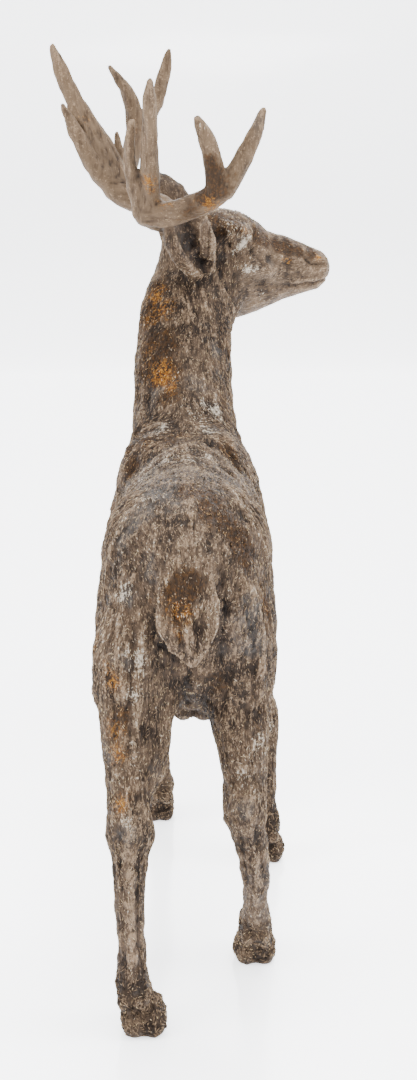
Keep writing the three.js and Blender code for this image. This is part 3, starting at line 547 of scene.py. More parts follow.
@dataclass
class Skin:
    """A dense closed mesh held as arrays, in the form's units while it is worked."""

    points: Numbers
    edges: Numbers
    faces: Numbers
    normals: Numbers = field(default_factory=lambda: np.zeros((0, 3)))

    def __post_init__(self) -> None:
        """Counts each corner's neighbours."""
        count = len(self.points)
        self.degree = np.bincount(self.edges.ravel(), minlength=count).astype(float)
        self.refresh()

    def refresh(self) -> None:
        """Works the corner normals out again."""
        a, b, c = (self.points[self.faces[:, n]] for n in range(3))
        flat = np.cross(b - a, c - a)
        total = np.zeros_like(self.points)
        for n in range(3):
            for axis in range(3):
                total[:, axis] += np.bincount(self.faces[:, n], flat[:, axis], len(total))
        self.normals = total / np.maximum(np.linalg.norm(total, axis=1, keepdims=True), 1e-12)

    def around(self, values: Numbers, weight: Numbers | None = None) -> Numbers:
        """The mean of each corner's neighbours.

        Args:
            values: One number or row for each corner.
            weight: One number for each edge, or nothing for an even mean.

        Returns:
            The means, in the shape of the values.
        """
        first, second = self.edges[:, 0], self.edges[:, 1]
        count = len(self.points)
        share = np.ones(len(self.edges)) if weight is None else weight
        rows = values.reshape(count, -1)
        total = np.zeros_like(rows)
        for axis in range(rows.shape[1]):
            total[:, axis] += np.bincount(first, rows[second, axis] * share, count)
            total[:, axis] += np.bincount(second, rows[first, axis] * share, count)
        if weight is None:
            sums = self.degree
        else:
            sums = np.bincount(first, share, count) + np.bincount(second, share, count)
        return (total / np.maximum(sums, 1e-9)[:, None]).reshape(values.shape)

    def even(self, rounds: int, keep: Numbers) -> None:
        """Takes the facets out without thinning the form.

        Args:
            rounds: How many pairs of passes to make.
            keep: A share for each corner, 0 where it stays and 1 where it moves freely.
        """
        for _ in range(rounds):
            for step in (0.55, -0.57):
                self.points += (self.around(self.points) - self.points) * (step * keep)[:, None]
        self.refresh()

    def settle(self, rounds: int, keep: Numbers) -> None:
        """Melts small knobs into the form around them.

        Args:
            rounds: How many passes to make.
            keep: A share for each corner, 0 where it stays and 1 where it moves freely.
        """
        for _ in range(rounds):
            self.points += (self.around(self.points) - self.points) * (0.5 * keep)[:, None]
        self.refresh()

    def rise(self, heights: Numbers) -> None:
        """Moves each corner along its normal by a height."""
        self.points += self.normals * heights[:, None]
        self.refresh()


def near_line(points: Numbers, line: Numbers) -> tuple[Numbers, Numbers]:
    """Measures from points to a line of straight stretches.

    Args:
        points: Rows of points.
        line: The line's corners, in order.

    Returns:
        The distance, and the direction of the nearest stretch.
    """
    distance = np.full(len(points), 1e9)
    heading = np.zeros((len(points), 3))
    for start, end in zip(line[:-1], line[1:]):
        stretch = end - start
        length = float(np.linalg.norm(stretch))
        share = np.clip(((points - start) @ stretch) / length**2, 0.0, 1.0)
        off = np.linalg.norm(points - start - share[:, None] * stretch, axis=1)
        closer = off < distance
        distance = np.where(closer, off, distance)
        heading[closer] = stretch / length
    return distance, heading


@dataclass
class GrainMap:
    """Which way the surface runs at each corner, and what it is."""

    heading: Numbers
    kinds: dict[Grain, Numbers]
    blend: ClassVar[float] = 7.0
    deepest: ClassVar[float] = -20.0
    farthest: ClassVar[float] = 120.0
    even_rounds: ClassVar[int] = 6

    @classmethod
    def of(cls, skin: Skin) -> GrainMap:
        """Reads the strands on to a skin.

        Args:
            skin: The worked skin, in the form's units.

        Returns:
            The headings and a share of each kind.
        """
        count = len(skin.points)
        heading = np.zeros((count, 3))
        total = np.zeros(count)
        shares = {grain: np.zeros(count) for grain in Grain}
        for strand in STRANDS:
            distance, direction = near_line(skin.points, strand.line())
            outside = np.clip(distance - strand.girth, cls.deepest, cls.farthest)
            weight = np.exp(-outside / cls.blend)
            heading += direction * weight[:, None]
            shares[strand.grain] += weight
            total += weight
        kinds = {grain: share / total for grain, share in shares.items()}
        for _ in range(cls.even_rounds):
            heading = skin.around(heading)
        flat = heading - skin.normals * np.sum(heading * skin.normals, axis=1)[:, None]
        flat /= np.maximum(np.linalg.norm(flat, axis=1, keepdims=True), 1e-9)
        return cls(flat, kinds)


@dataclass(frozen=True)
class Modelling:
    """How the sculptor's tool has worked the surface, in the form's units."""

    voxel: float = 2.1
    corners_kept: int = 97_000
    facet_rounds: int = 22
    foot_rounds: int = 9
    after_carving_rounds: int = 2
    lock_rounds: int = 7
    lock_height: float = 0.5
    horn_rounds: int = 28
    horn_height: float = 0.5
    lump_rounds: int = 26
    lump_height: float = 0.6
    tangle_rounds: int = 3
    tangle_height: float = 0.55
    tallest: float = 2.4
    across_grain: float = 0.012
    grain_power: int = 5
    carving_margin: float = 16.0
    carving_steps: int = 6
    tip_kept: float = 26.0
    tip_drawn: float = 20.8
    # How wide and deep the creases are that take painted shade.
    dip_rounds: int = 6
    dip_depth: float = 1.2
    shade_rounds: int = 60
    shade_depth: float = 5.0
    seed: int = 11


class StagCasting:
    """The whole figure, worked from the solid's own form."""

    def __init__(self, node: bpy.types.Object, frame: FormFrame, modelling: Modelling) -> None:
        """Keeps the solid, the frame and the modelling sizes."""
        self.node = node
        self.frame = frame
        self.modelling = modelling
        self.random = np.random.default_rng(modelling.seed)

    def solid_copy(self) -> bpy.types.Object:
        """A merged copy of the solid, remeshed finely and evenly.

        Returns:
            A new object at the origin.
        """
        mesh = self.node.data.copy()
        mesh.materials.clear()
        work = bmesh.new()
        work.from_mesh(mesh)
        bmesh.ops.remove_doubles(work, verts=work.verts, dist=MERGED)
        work.to_mesh(mesh)
        work.free()
        fine = bpy.data.objects.new("stag_casting", mesh)
        bpy.context.scene.collection.objects.link(fine)
        remesh = fine.modifiers.new("even", "REMESH")
        remesh.mode = "VOXEL"
        remesh.voxel_size = self.modelling.voxel * self.frame.unit
        bake(fine)
        return fine

    def skin_of(self, thing: bpy.types.Object) -> Skin:
        """Reads an object's mesh into arrays.

        Args:
            thing: The object.

        Returns:
            Its skin, in the form's units.
        """
        mesh = thing.data
        mesh.calc_loop_triangles()
        points = np.empty(len(mesh.vertices) * 3)
        mesh.vertices.foreach_get("co", points)
        edges = np.empty(len(mesh.edges) * 2, dtype=np.int32)
        mesh.edges.foreach_get("vertices", edges)
        faces = np.empty(len(mesh.loop_triangles) * 3, dtype=np.int32)
        mesh.loop_triangles.foreach_get("vertices", faces)
        return Skin(self.frame.form(points.reshape(-1, 3)), edges.reshape(-1, 2), faces.reshape(-1, 3))

    def noise(self, skin: Skin, rounds: int, weight: Numbers | None = None) -> Numbers:
        """Random heights, drawn out over the skin.

        Args:
            skin: The skin that they lie on.
            rounds: How far each height is drawn out.
            weight: A share for each edge, which draws them out along the grain.

        Returns:
            Heights with a spread of 1.
        """
        values = self.random.standard_normal(len(skin.points))
        for _ in range(rounds):
            values = 0.35 * values + 0.65 * skin.around(values, weight)
        values -= values.mean()
        return values / values.std()

    def along_grain(self, skin: Skin, grain: GrainMap) -> Numbers:
        """Compares each edge with the grain.

        Args:
            skin: The skin.
            grain: Its grain.

        Returns:
            A share for each edge: high along the grain and low across it.
        """
        first, second = skin.edges[:, 0], skin.edges[:, 1]
        run = skin.points[second] - skin.points[first]
        run /= np.maximum(np.linalg.norm(run, axis=1, keepdims=True), 1e-9)
        lean = np.sum(run * (grain.heading[first] + grain.heading[second]) * 0.5, axis=1)
        return np.abs(lean) ** self.modelling.grain_power + self.modelling.across_grain

    def carve(self, skin: Skin, strokes: Sequence[Stroke]) -> None:
        """Works ridges and grooves into the skin.

        Args:
            skin: The skin; it is changed.
            strokes: The lines that are worked in, all at once.
        """
        heights = np.zeros(len(skin.points))
        for stroke in strokes:
            line = stroke.line()
            reach = stroke.width * 2.5 + self.modelling.carving_margin
            low, high = line.min(0) - reach, line.max(0) + reach
            near = np.where(((skin.points > low) & (skin.points < high)).all(1))[0]
            if not len(near):
                continue
            distance, _ = near_line(skin.points[near], self.dropped(skin, near, line))
            heights[near] += stroke.height * np.exp(-((distance / stroke.width) ** 2))
        skin.rise(heights)

    def dropped(self, skin: Skin, near: Numbers, line: Numbers) -> Numbers:
        """Divides a line finely and moves each part of it to the skin.

        Args:
            skin: The skin.
            near: The numbers of its corners that lie near the line.
            line: The line's corners.

        Returns:
            The moved line, with no two corners in one place.
        """
        points = skin.points[near]
        shares = np.linspace(0, 1, self.modelling.carving_steps)[:-1, None]
        finer = [a + (b - a) * shares for a, b in zip(line[:-1], line[1:])]
        finer = np.concatenate([*finer, line[-1:]])
        picks = [int(np.argmin(np.sum((points - p) ** 2, axis=1))) for p in finer]
        return points[picks] + np.arange(len(picks))[:, None] * 1e-5

    def work(self, skin: Skin) -> GrainMap:
        """Evens the facets out and works the whole surface.

        Args:
            skin: The skin, in the form's units; it is changed.

        Returns:
            The grain of the finished skin.
        """
        sizes = self.modelling
        free = self.free_to_move(skin)
        skin.even(sizes.facet_rounds, free)
        skin.settle(sizes.foot_rounds, free * LEVELS.feet.at(skin.points))
        self.carve(skin, [*face_strokes(1), *face_strokes(-1), *ear_strokes(), *body_strokes()])
        skin.even(sizes.after_carving_rounds, free)
        grain = GrainMap.of(skin)
        skin.rise(self.relief(skin, grain) * LEVELS.standing.at(skin.points))
        self.regain_tips(skin)
        return grain

    def free_to_move(self, skin: Skin) -> Numbers:
        """How freely each corner may move as the facets are taken out.

        Args:
            skin: The skin as it was remeshed.

        Returns:
            A share for each corner, low on thin parts, at the tines' tips and on the soles.
        """
        kinds = GrainMap.of(skin).kinds
        free = np.clip(1.0 - 0.6 * (kinds[Grain.HORN] + kinds[Grain.EAR]), 0.3, 1.0)
        for strand in STRANDS:
            if strand.grain is Grain.HORN:
                from_tip = np.linalg.norm(skin.points - strand.line()[-1], axis=1)
                free *= np.clip(from_tip / self.modelling.tip_kept, 0.08, 1.0)
        return free * LEVELS.soles.at(skin.points)

    def relief(self, skin: Skin, grain: GrainMap) -> Numbers:
        """The heights of the locks, lumps, tangles and antler grooves.

        Args:
            skin: The carved skin.
            grain: Its grain.

        Returns:
            A height for each corner, in the form's units.
        """
        sizes, kinds = self.modelling, grain.kinds
        weight = self.along_grain(skin, grain)
        locks = self.noise(skin, sizes.lock_rounds, weight)
        grooves = self.noise(skin, sizes.horn_rounds, weight)
        lumps = self.noise(skin, sizes.lump_rounds)
        tangle = self.noise(skin, sizes.tangle_rounds)
        head, horn = kinds[Grain.HEAD], kinds[Grain.HORN]
        furred = kinds[Grain.COAT] + kinds[Grain.TAIL] + 0.35 * head + 0.4 * kinds[Grain.EAR]
        footed = np.maximum(kinds[Grain.FOOT], 0.5 * LEVELS.fetlocks.at(skin.points))
        heights = sizes.lock_height * locks * furred
        heights += sizes.lump_height * lumps * (1.0 - 0.7 * horn) * (1.0 - 0.5 * head)
        heights += sizes.tangle_height * tangle * footed
        heights += sizes.horn_height * grooves * horn
        return np.clip(heights, -sizes.tallest, sizes.tallest)

    def regain_tips(self, skin: Skin) -> None:
        """Draws the tines out again to the length that they have in the solid.

        Args:
            skin: The worked skin; its tips are moved.
        """
        mesh = self.node.data
        corners = np.empty(len(mesh.vertices) * 3)
        mesh.vertices.foreach_get("co", corners)
        corners = self.frame.form(corners.reshape(-1, 3))
        span, drawn = self.modelling.tip_kept, self.modelling.tip_drawn
        for strand in STRANDS:
            if strand.grain is not Grain.HORN:
                continue
            line = strand.line()
            heading = (line[-1] - line[-2]) / np.linalg.norm(line[-1] - line[-2])
            solid = corners[np.linalg.norm(corners - line[-1], axis=1) < span]
            near = np.where(np.linalg.norm(skin.points - line[-1], axis=1) < span)[0]
            if not len(solid) or not len(near):
                continue
            along = skin.points[near] @ heading
            lost = float((solid @ heading).max() - along.max())
            share = np.clip(1.0 - (along.max() - along) / drawn, 0.0, 1.0)
            skin.points[near] += (share * max(lost, 0.0))[:, None] * heading
        skin.refresh()

    @staticmethod
    def sunk(skin: Skin, rounds: int) -> Numbers:
        """How far each corner lies below the level of the skin around it.

        Args:
            skin: The finished skin.
            rounds: How wide the skin around is.

        Returns:
            Depths in the form's units; those of ridges are below zero.
        """
        level = skin.points.copy()
        for _ in range(rounds):
            level = skin.around(level)
        return np.sum((level - skin.points) * skin.normals, axis=1)

    def paint(self, thing: bpy.types.Object, skin: Skin, grain: GrainMap) -> None:
        """Puts the worked skin on the mesh, with the grain, the patches and the values of painted shade as
        named values.

        Args:
            thing: The object whose mesh it is.
            skin: The worked skin.
            grain: Its grain.
        """
        mesh = thing.data
        points = self.frame.metres(skin.points)
        low, high = np.array(self.frame.low), np.array(self.frame.high)
        points = np.clip(points, low + INSET, high - INSET)
        mesh.vertices.foreach_set("co", points.ravel())
        for bloom in Bloom:
            spread = RUST_SPREAD if bloom is Bloom.RUST else 1.0
            total = np.zeros(len(skin.points))
            for patch in PATCHES[bloom]:
                total = np.maximum(total, patch.cover(skin.points, spread))
            self.store(mesh, bloom.value, total)
        sizes, kinds = self.modelling, grain.kinds
        coat, ear, foot, head = (kinds[g] for g in (Grain.COAT, Grain.EAR, Grain.FOOT, Grain.HEAD))
        hairy = coat + kinds[Grain.TAIL] + foot + 0.5 * head + 0.2 * ear
        hairy *= 1.0 - 0.35 * (LEVELS.shanks.at(skin.points) * coat)
        self.store(mesh, "hairy", hairy * LEVELS.furred.at(skin.points))
        self.store(mesh, "face", head)
        self.store(mesh, "horn", kinds[Grain.HORN])
        self.store(mesh, "tangled", np.clip(foot * 1.1 - ear * 0.3 - head * 0.6, -0.6, 1))
        # The hollow and shade values paint shade into the colour: in fine and broad creases, and more
        # towards the bottom.
        calm = 1.0 - 0.5 * (ear + foot)
        dips = np.clip(self.sunk(skin, sizes.dip_rounds) / sizes.dip_depth, -1.5, 2.0)
        self.store(mesh, "hollow", dips * calm)
        shade = np.clip(self.sunk(skin, sizes.shade_rounds) / sizes.shade_depth, -0.5, 1.7)
        self.store(mesh, "shade", shade * calm + 0.3 * LEVELS.underside.at(skin.points))
        self.store(mesh, "lie", grain.heading, "FLOAT_VECTOR")
        mesh.update()

    @staticmethod
    def store(mesh: bpy.types.Mesh, name: str, values: Numbers, kind: str = "FLOAT") -> None:
        """Writes one named value for each corner of a mesh."""
        made = mesh.attributes.new(name, kind, "POINT")
        made.data.foreach_set("vector" if kind == "FLOAT_VECTOR" else "value", values.ravel())

    def build(self) -> bpy.types.Object:
        """Makes the finished casting.

        Returns:
            The object, thinned to its budget, with its named values.
        """
        thing = self.solid_copy()
        skin = self.skin_of(thing)
        LOG.info("evenly remeshed: %d corners", len(skin.points))
        grain = self.work(skin)
        self.paint(thing, skin, grain)
        thinner = thing.modifiers.new("thin", "DECIMATE")
        thinner.ratio = min(1.0, self.modelling.corners_kept / len(skin.points))
        bake(thing)
        for polygon in thing.data.polygons:
            polygon.use_smooth = True
        LOG.info("casting: %d faces", len(thing.data.polygons))
        return thing


def bake(thing: bpy.types.Object) -> None:
    """Turns an object's modifiers into its mesh.

    Args:
        thing: The object; it is left with no modifier.
    """
    graph = bpy.context.evaluated_depsgraph_get()
    mesh = bpy.data.meshes.new_from_object(thing.evaluated_get(graph))
    thing.modifiers.clear()
    thing.data = mesh


def join(tree: bpy.types.NodeTree, value: object, socket: bpy.types.NodeSocket) -> None:
    """Links an output or a wire to a socket, or sets the socket's own value.

    Args:
        tree: The tree that both belong to.
        value: An output, a wire or a plain value.
        socket: The input.
    """
    source = value.socket if isinstance(value, Wire) else value
    if isinstance(source, bpy.types.NodeSocket):
        tree.links.new(source, socket)
    else:
        socket.default_value = source


class NodeBench:
    """Adds nodes to one tree and joins their sockets."""

    def __init__(self, tree: bpy.types.NodeTree) -> None:
        """Keeps the tree."""
        self.tree = tree

    def node(self, kind: str, settings: dict | None = None, sockets: dict | None = None) -> bpy.types.Node:
        """Adds a node, sets it up and joins its sockets.

        Args:
            kind: The node's type.
            settings: Its own settings, set first.
            sockets: Values, outputs or wires by socket name or number.

        Returns:
            The node.
        """
        made = self.tree.nodes.new(kind)
        for name, value in (settings or {}).items():
            setattr(made, name, value)
        for name, value in (sockets or {}).items():
            join(self.tree, value, made.inputs[name])
        return made

    def first(self, kind: str, settings: dict | None, sockets: dict) -> bpy.types.NodeSocket:
        """The first output of a new node."""
        return self.node(kind, settings, sockets).outputs[0]


@dataclass(frozen=True)
class HairLayer:
    """Short raised hairs that lie over the casting along its grain, in metres."""

    name: str
    seed: int
    to_square_metre: float
    length: float
    width: float
    height: float
    lift: float
    stray: float
    palest: float

    def sizes(self) -> dict[str, float | int]:
        """The layer's own sizes by the name of the tree's input."""
        return {
            "Hairs to a square metre": self.to_square_metre,
            "Length": self.length,
            "Width": self.width,
            "Height": self.height,
            "Lift": self.lift,
            "Stray": self.stray,
            "Palest": self.palest,
            "Seed": self.seed,
        }

    def lay(
        self, casting: bpy.types.Object, hairs: HairTree, finish: bpy.types.Material
    ) -> bpy.types.Object:
        """Lays the hairs over the casting.

        Args:
            casting: What they lie on.
            hairs: The node tree that spreads them.
            finish: Their material.

        Returns:
            A plain mesh object of the hairs alone.
        """
        piece = bpy.data.objects.new(self.name, casting.data.copy())
        bpy.context.scene.collection.objects.link(piece)
        spread = piece.modifiers.new("spread", "NODES")
        spread.node_group = hairs.tree
        for name, value in self.sizes().items():
            spread[hairs.inputs[name]] = value
        spread[hairs.inputs["Finish"]] = finish
        bake(piece)
        LOG.info("%s: %d faces", self.name, len(piece.data.polygons))
        return piece


@dataclass(frozen=True)
class HairRange:
    """How far single hairs differ from their layer's sizes, as factors."""

    shortest: float = 0.55
    longest: float = 1.35
    narrowest: float = 0.7
    widest: float = 1.3
    tint_range: float = 0.95
    tangled_girth: float = 0.6
    tangled_stray: float = 1.2
    least_stray: float = 0.15
    seed_step: float = 17.0


class HairTree(NodeBench):
    """The node tree that spreads hairs over a surface along its lie."""

    def __init__(self, ranges: HairRange) -> None:
        """Builds the tree and keeps its inputs' identifiers."""
        super().__init__(bpy.data.node_groups.new("hairs_along_the_grain", "GeometryNodeTree"))
        self.ranges = ranges
        self.inputs: dict[str, str] = {}
        self.tree.interface.new_socket("Geometry", in_out="OUTPUT", socket_type="NodeSocketGeometry")
        self.add_input("Geometry", "NodeSocketGeometry")
        for name in ("Hairs to a square metre", "Length", "Width", "Height", "Lift", "Stray", "Palest"):
            self.add_input(name, "NodeSocketFloat")
        self.add_input("Seed", "NodeSocketInt")
        self.add_input("Finish", "NodeSocketMaterial")
        self.spread()

    def add_input(self, name: str, kind: str) -> None:
        """Adds one named input to the tree."""
        made = self.tree.interface.new_socket(name, in_out="INPUT", socket_type=kind)
        self.inputs[name] = made.identifier

    def sums(self, operation: str, *values: bpy.types.NodeSocket | float) -> bpy.types.NodeSocket:
        """One Math node's output."""
        return self.first("ShaderNodeMath", {"operation": operation}, dict(enumerate(values)))

    def named(self, name: str, kind: str = "FLOAT") -> bpy.types.NodeSocket:
        """A named value of the surface."""
        return self.first("GeometryNodeInputNamedAttribute", {"data_type": kind}, {"Name": name})

    def chance(self, low: float, high: float, seed: bpy.types.NodeSocket) -> bpy.types.NodeSocket:
        """A random number for each hair."""
        sockets = {2: low, 3: high, "Seed": seed}
        return self.node("FunctionNodeRandomValue", {"data_type": "FLOAT"}, sockets).outputs[1]

    def heading(self, stray: bpy.types.NodeSocket, seed: bpy.types.NodeSocket) -> bpy.types.NodeSocket:
        """The way that each hair points: the lie of the surface, with some sway.

        Args:
            stray: How far the layer's hairs sway.
            seed: The sway's own seed.

        Returns:
            A direction for each hair.
        """
        ends = {0: (-1.0, -1.0, -1.0), 1: (1.0, 1.0, 1.0), "Seed": seed}
        sway = self.first("FunctionNodeRandomValue", {"data_type": "FLOAT_VECTOR"}, ends)
        loose = self.sums("MULTIPLY_ADD", self.named("tangled"), self.ranges.tangled_stray, stray)
        loose = self.sums("MAXIMUM", loose, self.ranges.least_stray)
        swayed = self.first("ShaderNodeVectorMath", {"operation": "SCALE"}, {0: sway, "Scale": loose})
        joined = {0: self.named("lie", "FLOAT_VECTOR"), 1: swayed}
        return self.first("ShaderNodeVectorMath", {"operation": "ADD"}, joined)

    def turn(
        self, normal: bpy.types.NodeSocket, way: bpy.types.NodeSocket, lift: bpy.types.NodeSocket
    ) -> bpy.types.NodeSocket:
        """The rotation that lays a hair along its way and lifts its tip.

        Args:
            normal: The surface's normal.
            way: The direction that the hair points in.
            lift: The angle that its tip is lifted by, in radians.

        Returns:
            The rotation.
        """
        axes = {"primary_axis": "Z", "secondary_axis": "X"}
        stand = self.first("FunctionNodeAxesToRotation", axes, {0: normal, 1: way})
        hinge = {"Axis": (0.0, 1.0, 0.0), "Angle": self.sums("MULTIPLY", lift, -1.0)}
        tip = self.first("FunctionNodeAxisAngleToRotation", {}, hinge)
        return self.first("FunctionNodeRotateRotation", {"rotation_space": "LOCAL"}, {0: stand, 1: tip})

    def spread(self) -> None:
        """Joins the nodes from the surface to the finished hairs."""
        given = self.node("NodeGroupInput").outputs
        ranges = self.ranges
        sway_seed, length_seed, width_seed, tint_seed = (
            self.sums("ADD", given["Seed"], n * ranges.seed_step) for n in range(1, 5)
        )
        dense = self.sums("MULTIPLY", given["Hairs to a square metre"], self.named("hairy"))
        sockets = {"Mesh": given["Geometry"], "Density": dense, "Seed": given["Seed"]}
        dots = self.node("GeometryNodeDistributePointsOnFaces", {}, sockets).outputs
        turned = self.turn(dots["Normal"], self.heading(given["Stray"], sway_seed), given["Lift"])
        spindle = self.first("GeometryNodeMeshUVSphere", {}, {"Segments": 3, "Rings": 2, "Radius": 0.5})
        along = self.first("GeometryNodeTransform", {}, {0: spindle, "Rotation": (0.0, -math.pi / 2, 0.0)})
        clump = self.sums("MULTIPLY_ADD", self.named("tangled"), ranges.tangled_girth, 1.0)
        length = self.chance(ranges.shortest, ranges.longest, length_seed)
        width = self.sums("MULTIPLY", clump, self.chance(ranges.narrowest, ranges.widest, width_seed))
        sizes = {
            0: self.sums("MULTIPLY", given["Length"], length),
            1: self.sums("MULTIPLY", given["Width"], width),
            2: self.sums("MULTIPLY", given["Height"], self.sums("MULTIPLY", clump, clump)),
        }
        size = self.first("ShaderNodeCombineXYZ", {}, sizes)
        placed = {"Points": dots["Points"], "Instance": along, "Rotation": turned, "Scale": size}
        hairs = self.first("GeometryNodeInstanceOnPoints", {}, placed)
        tint = self.sums("SUBTRACT", given["Palest"], self.chance(0.0, ranges.tint_range, tint_seed))
        kept = {"data_type": "FLOAT", "domain": "INSTANCE"}
        tinted = {"Geometry": hairs, "Name": "tint", "Value": tint}
        tinted = self.first("GeometryNodeStoreNamedAttribute", kept, tinted)
        real = self.first("GeometryNodeRealizeInstances", {}, {0: tinted})
        smooth = self.first("GeometryNodeSetShadeSmooth", {}, {"Geometry": real})
        finished = {"Geometry": smooth, "Material": given["Finish"]}
        done = self.first("GeometryNodeSetMaterial", {}, finished)
        self.node("NodeGroupOutput", {}, {0: done})


COAT_LAYERS: tuple[HairLayer, ...] = (
    HairLayer("under_coat", 3, 82_000, 0.0056, 0.0011, 0.0007, 0.04, 0.30, 0.90),
    HairLayer("middle_coat", 5, 82_000, 0.0046, 0.0009, 0.0008, 0.07, 0.45, 1.00),
    HairLayer("top_coat", 8, 44_000, 0.0036, 0.0008, 0.0009, 0.10, 0.90, 1.60),
)


class Wire:
    """A shader socket that can be used in sums."""

    def __init__(self, tree: bpy.types.NodeTree, socket: bpy.types.NodeSocket) -> None:
        """Keeps the tree and the socket."""
        self.tree = tree
        self.socket = socket

    def _sum(self, operation: str, *values: Wire | float) -> Wire:
        """Adds one Math node.

        Args:
            operation: What it does.
            values: Its inputs, in order.

        Returns:
            Its output.
        """
        node = self.tree.nodes.new("ShaderNodeMath")
        node.operation = operation
        for socket, value in zip(node.inputs, values):
            join(self.tree, value, socket)
        return Wire(self.tree, node.outputs[0])

    def __add__(self, other: Wire | float) -> Wire:
        """Self plus other."""
        return self._sum("ADD", self, other)

    __radd__ = __add__

    def __mul__(self, other: Wire | float) -> Wire:
        """Self times other."""
        return self._sum("MULTIPLY", self, other)

    __rmul__ = __mul__

    def __sub__(self, other: Wire | float) -> Wire:
        """Self less other."""
        return self._sum("SUBTRACT", self, other)

    def __rsub__(self, other: Wire | float) -> Wire:
        """Other less self."""
        return self._sum("SUBTRACT", other, self)

    def __truediv__(self, other: Wire | float) -> Wire:
        """Self over other."""
        return self._sum("DIVIDE", self, other)

    def __pow__(self, other: float) -> Wire:
        """Self to a power."""
        return self._sum("POWER", self, other)

    def clamp(self, low: float = 0.0, high: float = 1.0) -> Wire:
        """Self held between two numbers."""
        return self._sum("MAXIMUM", self._sum("MINIMUM", self, high), low)

    def above(self, start: float, end: float) -> Wire:
        """Rises from 0 at start to 1 at end, smoothly.

        Args:
            start: Where it leaves 0.
            end: Where it reaches 1.

        Returns:
            The smooth step.
        """
        node = self.tree.nodes.new("ShaderNodeMapRange")
        node.interpolation_type = "SMOOTHSTEP"
        self.tree.links.new(self.socket, node.inputs["Value"])
        node.inputs["From Min"].default_value = start
        node.inputs["From Max"].default_value = end
        return Wire(self.tree, node.outputs["Result"])


@dataclass(frozen=True)
class Mottle:
    """A noise: its turns to a metre, its octaves and how strong the finer ones are."""

    scale: float
    detail: float
    rough: float


STREAK_WAYS: tuple[Triple, ...] = (
    (1, 0, 0),
    (0, 1, 0),
    (0, 0, 1),
    (0, 0.6, 0.8),
    (0, -0.6, 0.8),
    (0.86, 0.5, 0),
    (-0.86, 0.5, 0),
)


class Dye(NodeBench):
    """Builds one material's nodes."""

    def __init__(self, name: str) -> None:
        """Makes an empty material with an output."""
        self.material = bpy.data.materials.new(name)
        self.material.use_nodes = True
        super().__init__(self.material.node_tree)
        self.tree.nodes.clear()

    def wire(self, node: bpy.types.Node, output: str | int = 0) -> Wire:
        """One output of a node as a wire."""
        return Wire(self.tree, node.outputs[output])

    def value(self, name: str, output: str = "Fac") -> Wire:
        """A named value of the mesh."""
        return self.wire(self.node("ShaderNodeAttribute", {"attribute_name": name}), output)

    def place(self) -> Wire:
        """The place on the object."""
        return self.wire(self.node("ShaderNodeTexCoord"), "Object")

    def vector(self, operation: str, sockets: dict, output: str | int = 0) -> Wire:
        """One Vector Math node's output."""
        return self.wire(self.node("ShaderNodeVectorMath", {"operation": operation}, sockets), output)

    def noise(self, where: Wire, mottle: Mottle) -> Wire:
        """A noise between 0 and 1.

        Args:
            where: The coordinates.
            mottle: The noise's sizes.

        Returns:
            The noise.
        """
        sizes = {"Scale": mottle.scale, "Detail": mottle.detail, "Roughness": mottle.rough}
        return self.wire(self.node("ShaderNodeTexNoise", {}, {"Vector": where, **sizes}), "Fac")

    def streaks(self, scale: float, stretch: float) -> Wire:
        """A noise drawn out along the way that the surface runs.

        Args:
            scale: Streaks to a metre, across.
            stretch: How much longer than wide they are.

        Returns:
            The noise, mixed from patterns along a few fixed directions.
        """
        place, lie = self.place(), self.value("lie", "Vector")
        total: Wire | float = 0.0
        weights: Wire | float = 0.001
        for way in STREAK_WAYS:
            share = self.vector("DOT_PRODUCT", {0: lie, 1: way}, 1)
            weight = (share * share) ** 5.0
            length = self.vector("DOT_PRODUCT", {0: place, 1: way}, 1) * (1.0 / stretch - 1.0)
            pulled = self.vector("SCALE", {0: way, "Scale": length})
            where = self.vector("ADD", {0: place, 1: pulled})
            total = self.noise(where, Mottle(scale, 2.0, 0.55)) * weight + total
            weights = weight + weights
        return total / weights

    def mix(self, share: Wire | float, first: Wire | Triple, second: Wire | Triple) -> Wire:
        """A mix of two colours.

        Args:
            share: 0 for the first and 1 for the second.
            first: A colour.
            second: A colour.

        Returns:
            The mixed colour.
        """
        node = self.tree.nodes.new("ShaderNodeMix")
        node.data_type = "RGBA"
        for number, value in ((0, share), (6, first), (7, second)):
            join(self.tree, (*value, 1.0) if isinstance(value, tuple) else value, node.inputs[number])
        return Wire(self.tree, node.outputs[2])

    def finish(self, sockets: dict, bump: Sequence[tuple[Wire, float, float]] = ()) -> bpy.types.Material:
        """Closes the material with a shader.

        Args:
            sockets: The shader's values or wires.
            bump: Heights with their strength and distance, coarse first.

        Returns:
            The material.
        """
        shader = self.node("ShaderNodeBsdfPrincipled", {}, sockets)
        normal: Wire | None = None
        for height, strength, distance in bump:
            joined = {"Height": height, "Strength": strength, "Distance": distance}
            if normal is not None:
                joined["Normal"] = normal
            normal = self.wire(self.node("ShaderNodeBump", {}, joined))
        if normal is not None:
            self.tree.links.new(normal.socket, shader.inputs["Normal"])
        output = self.node("ShaderNodeOutputMaterial")
        self.tree.links.new(shader.outputs[0], output.inputs["Surface"])
        return self.material


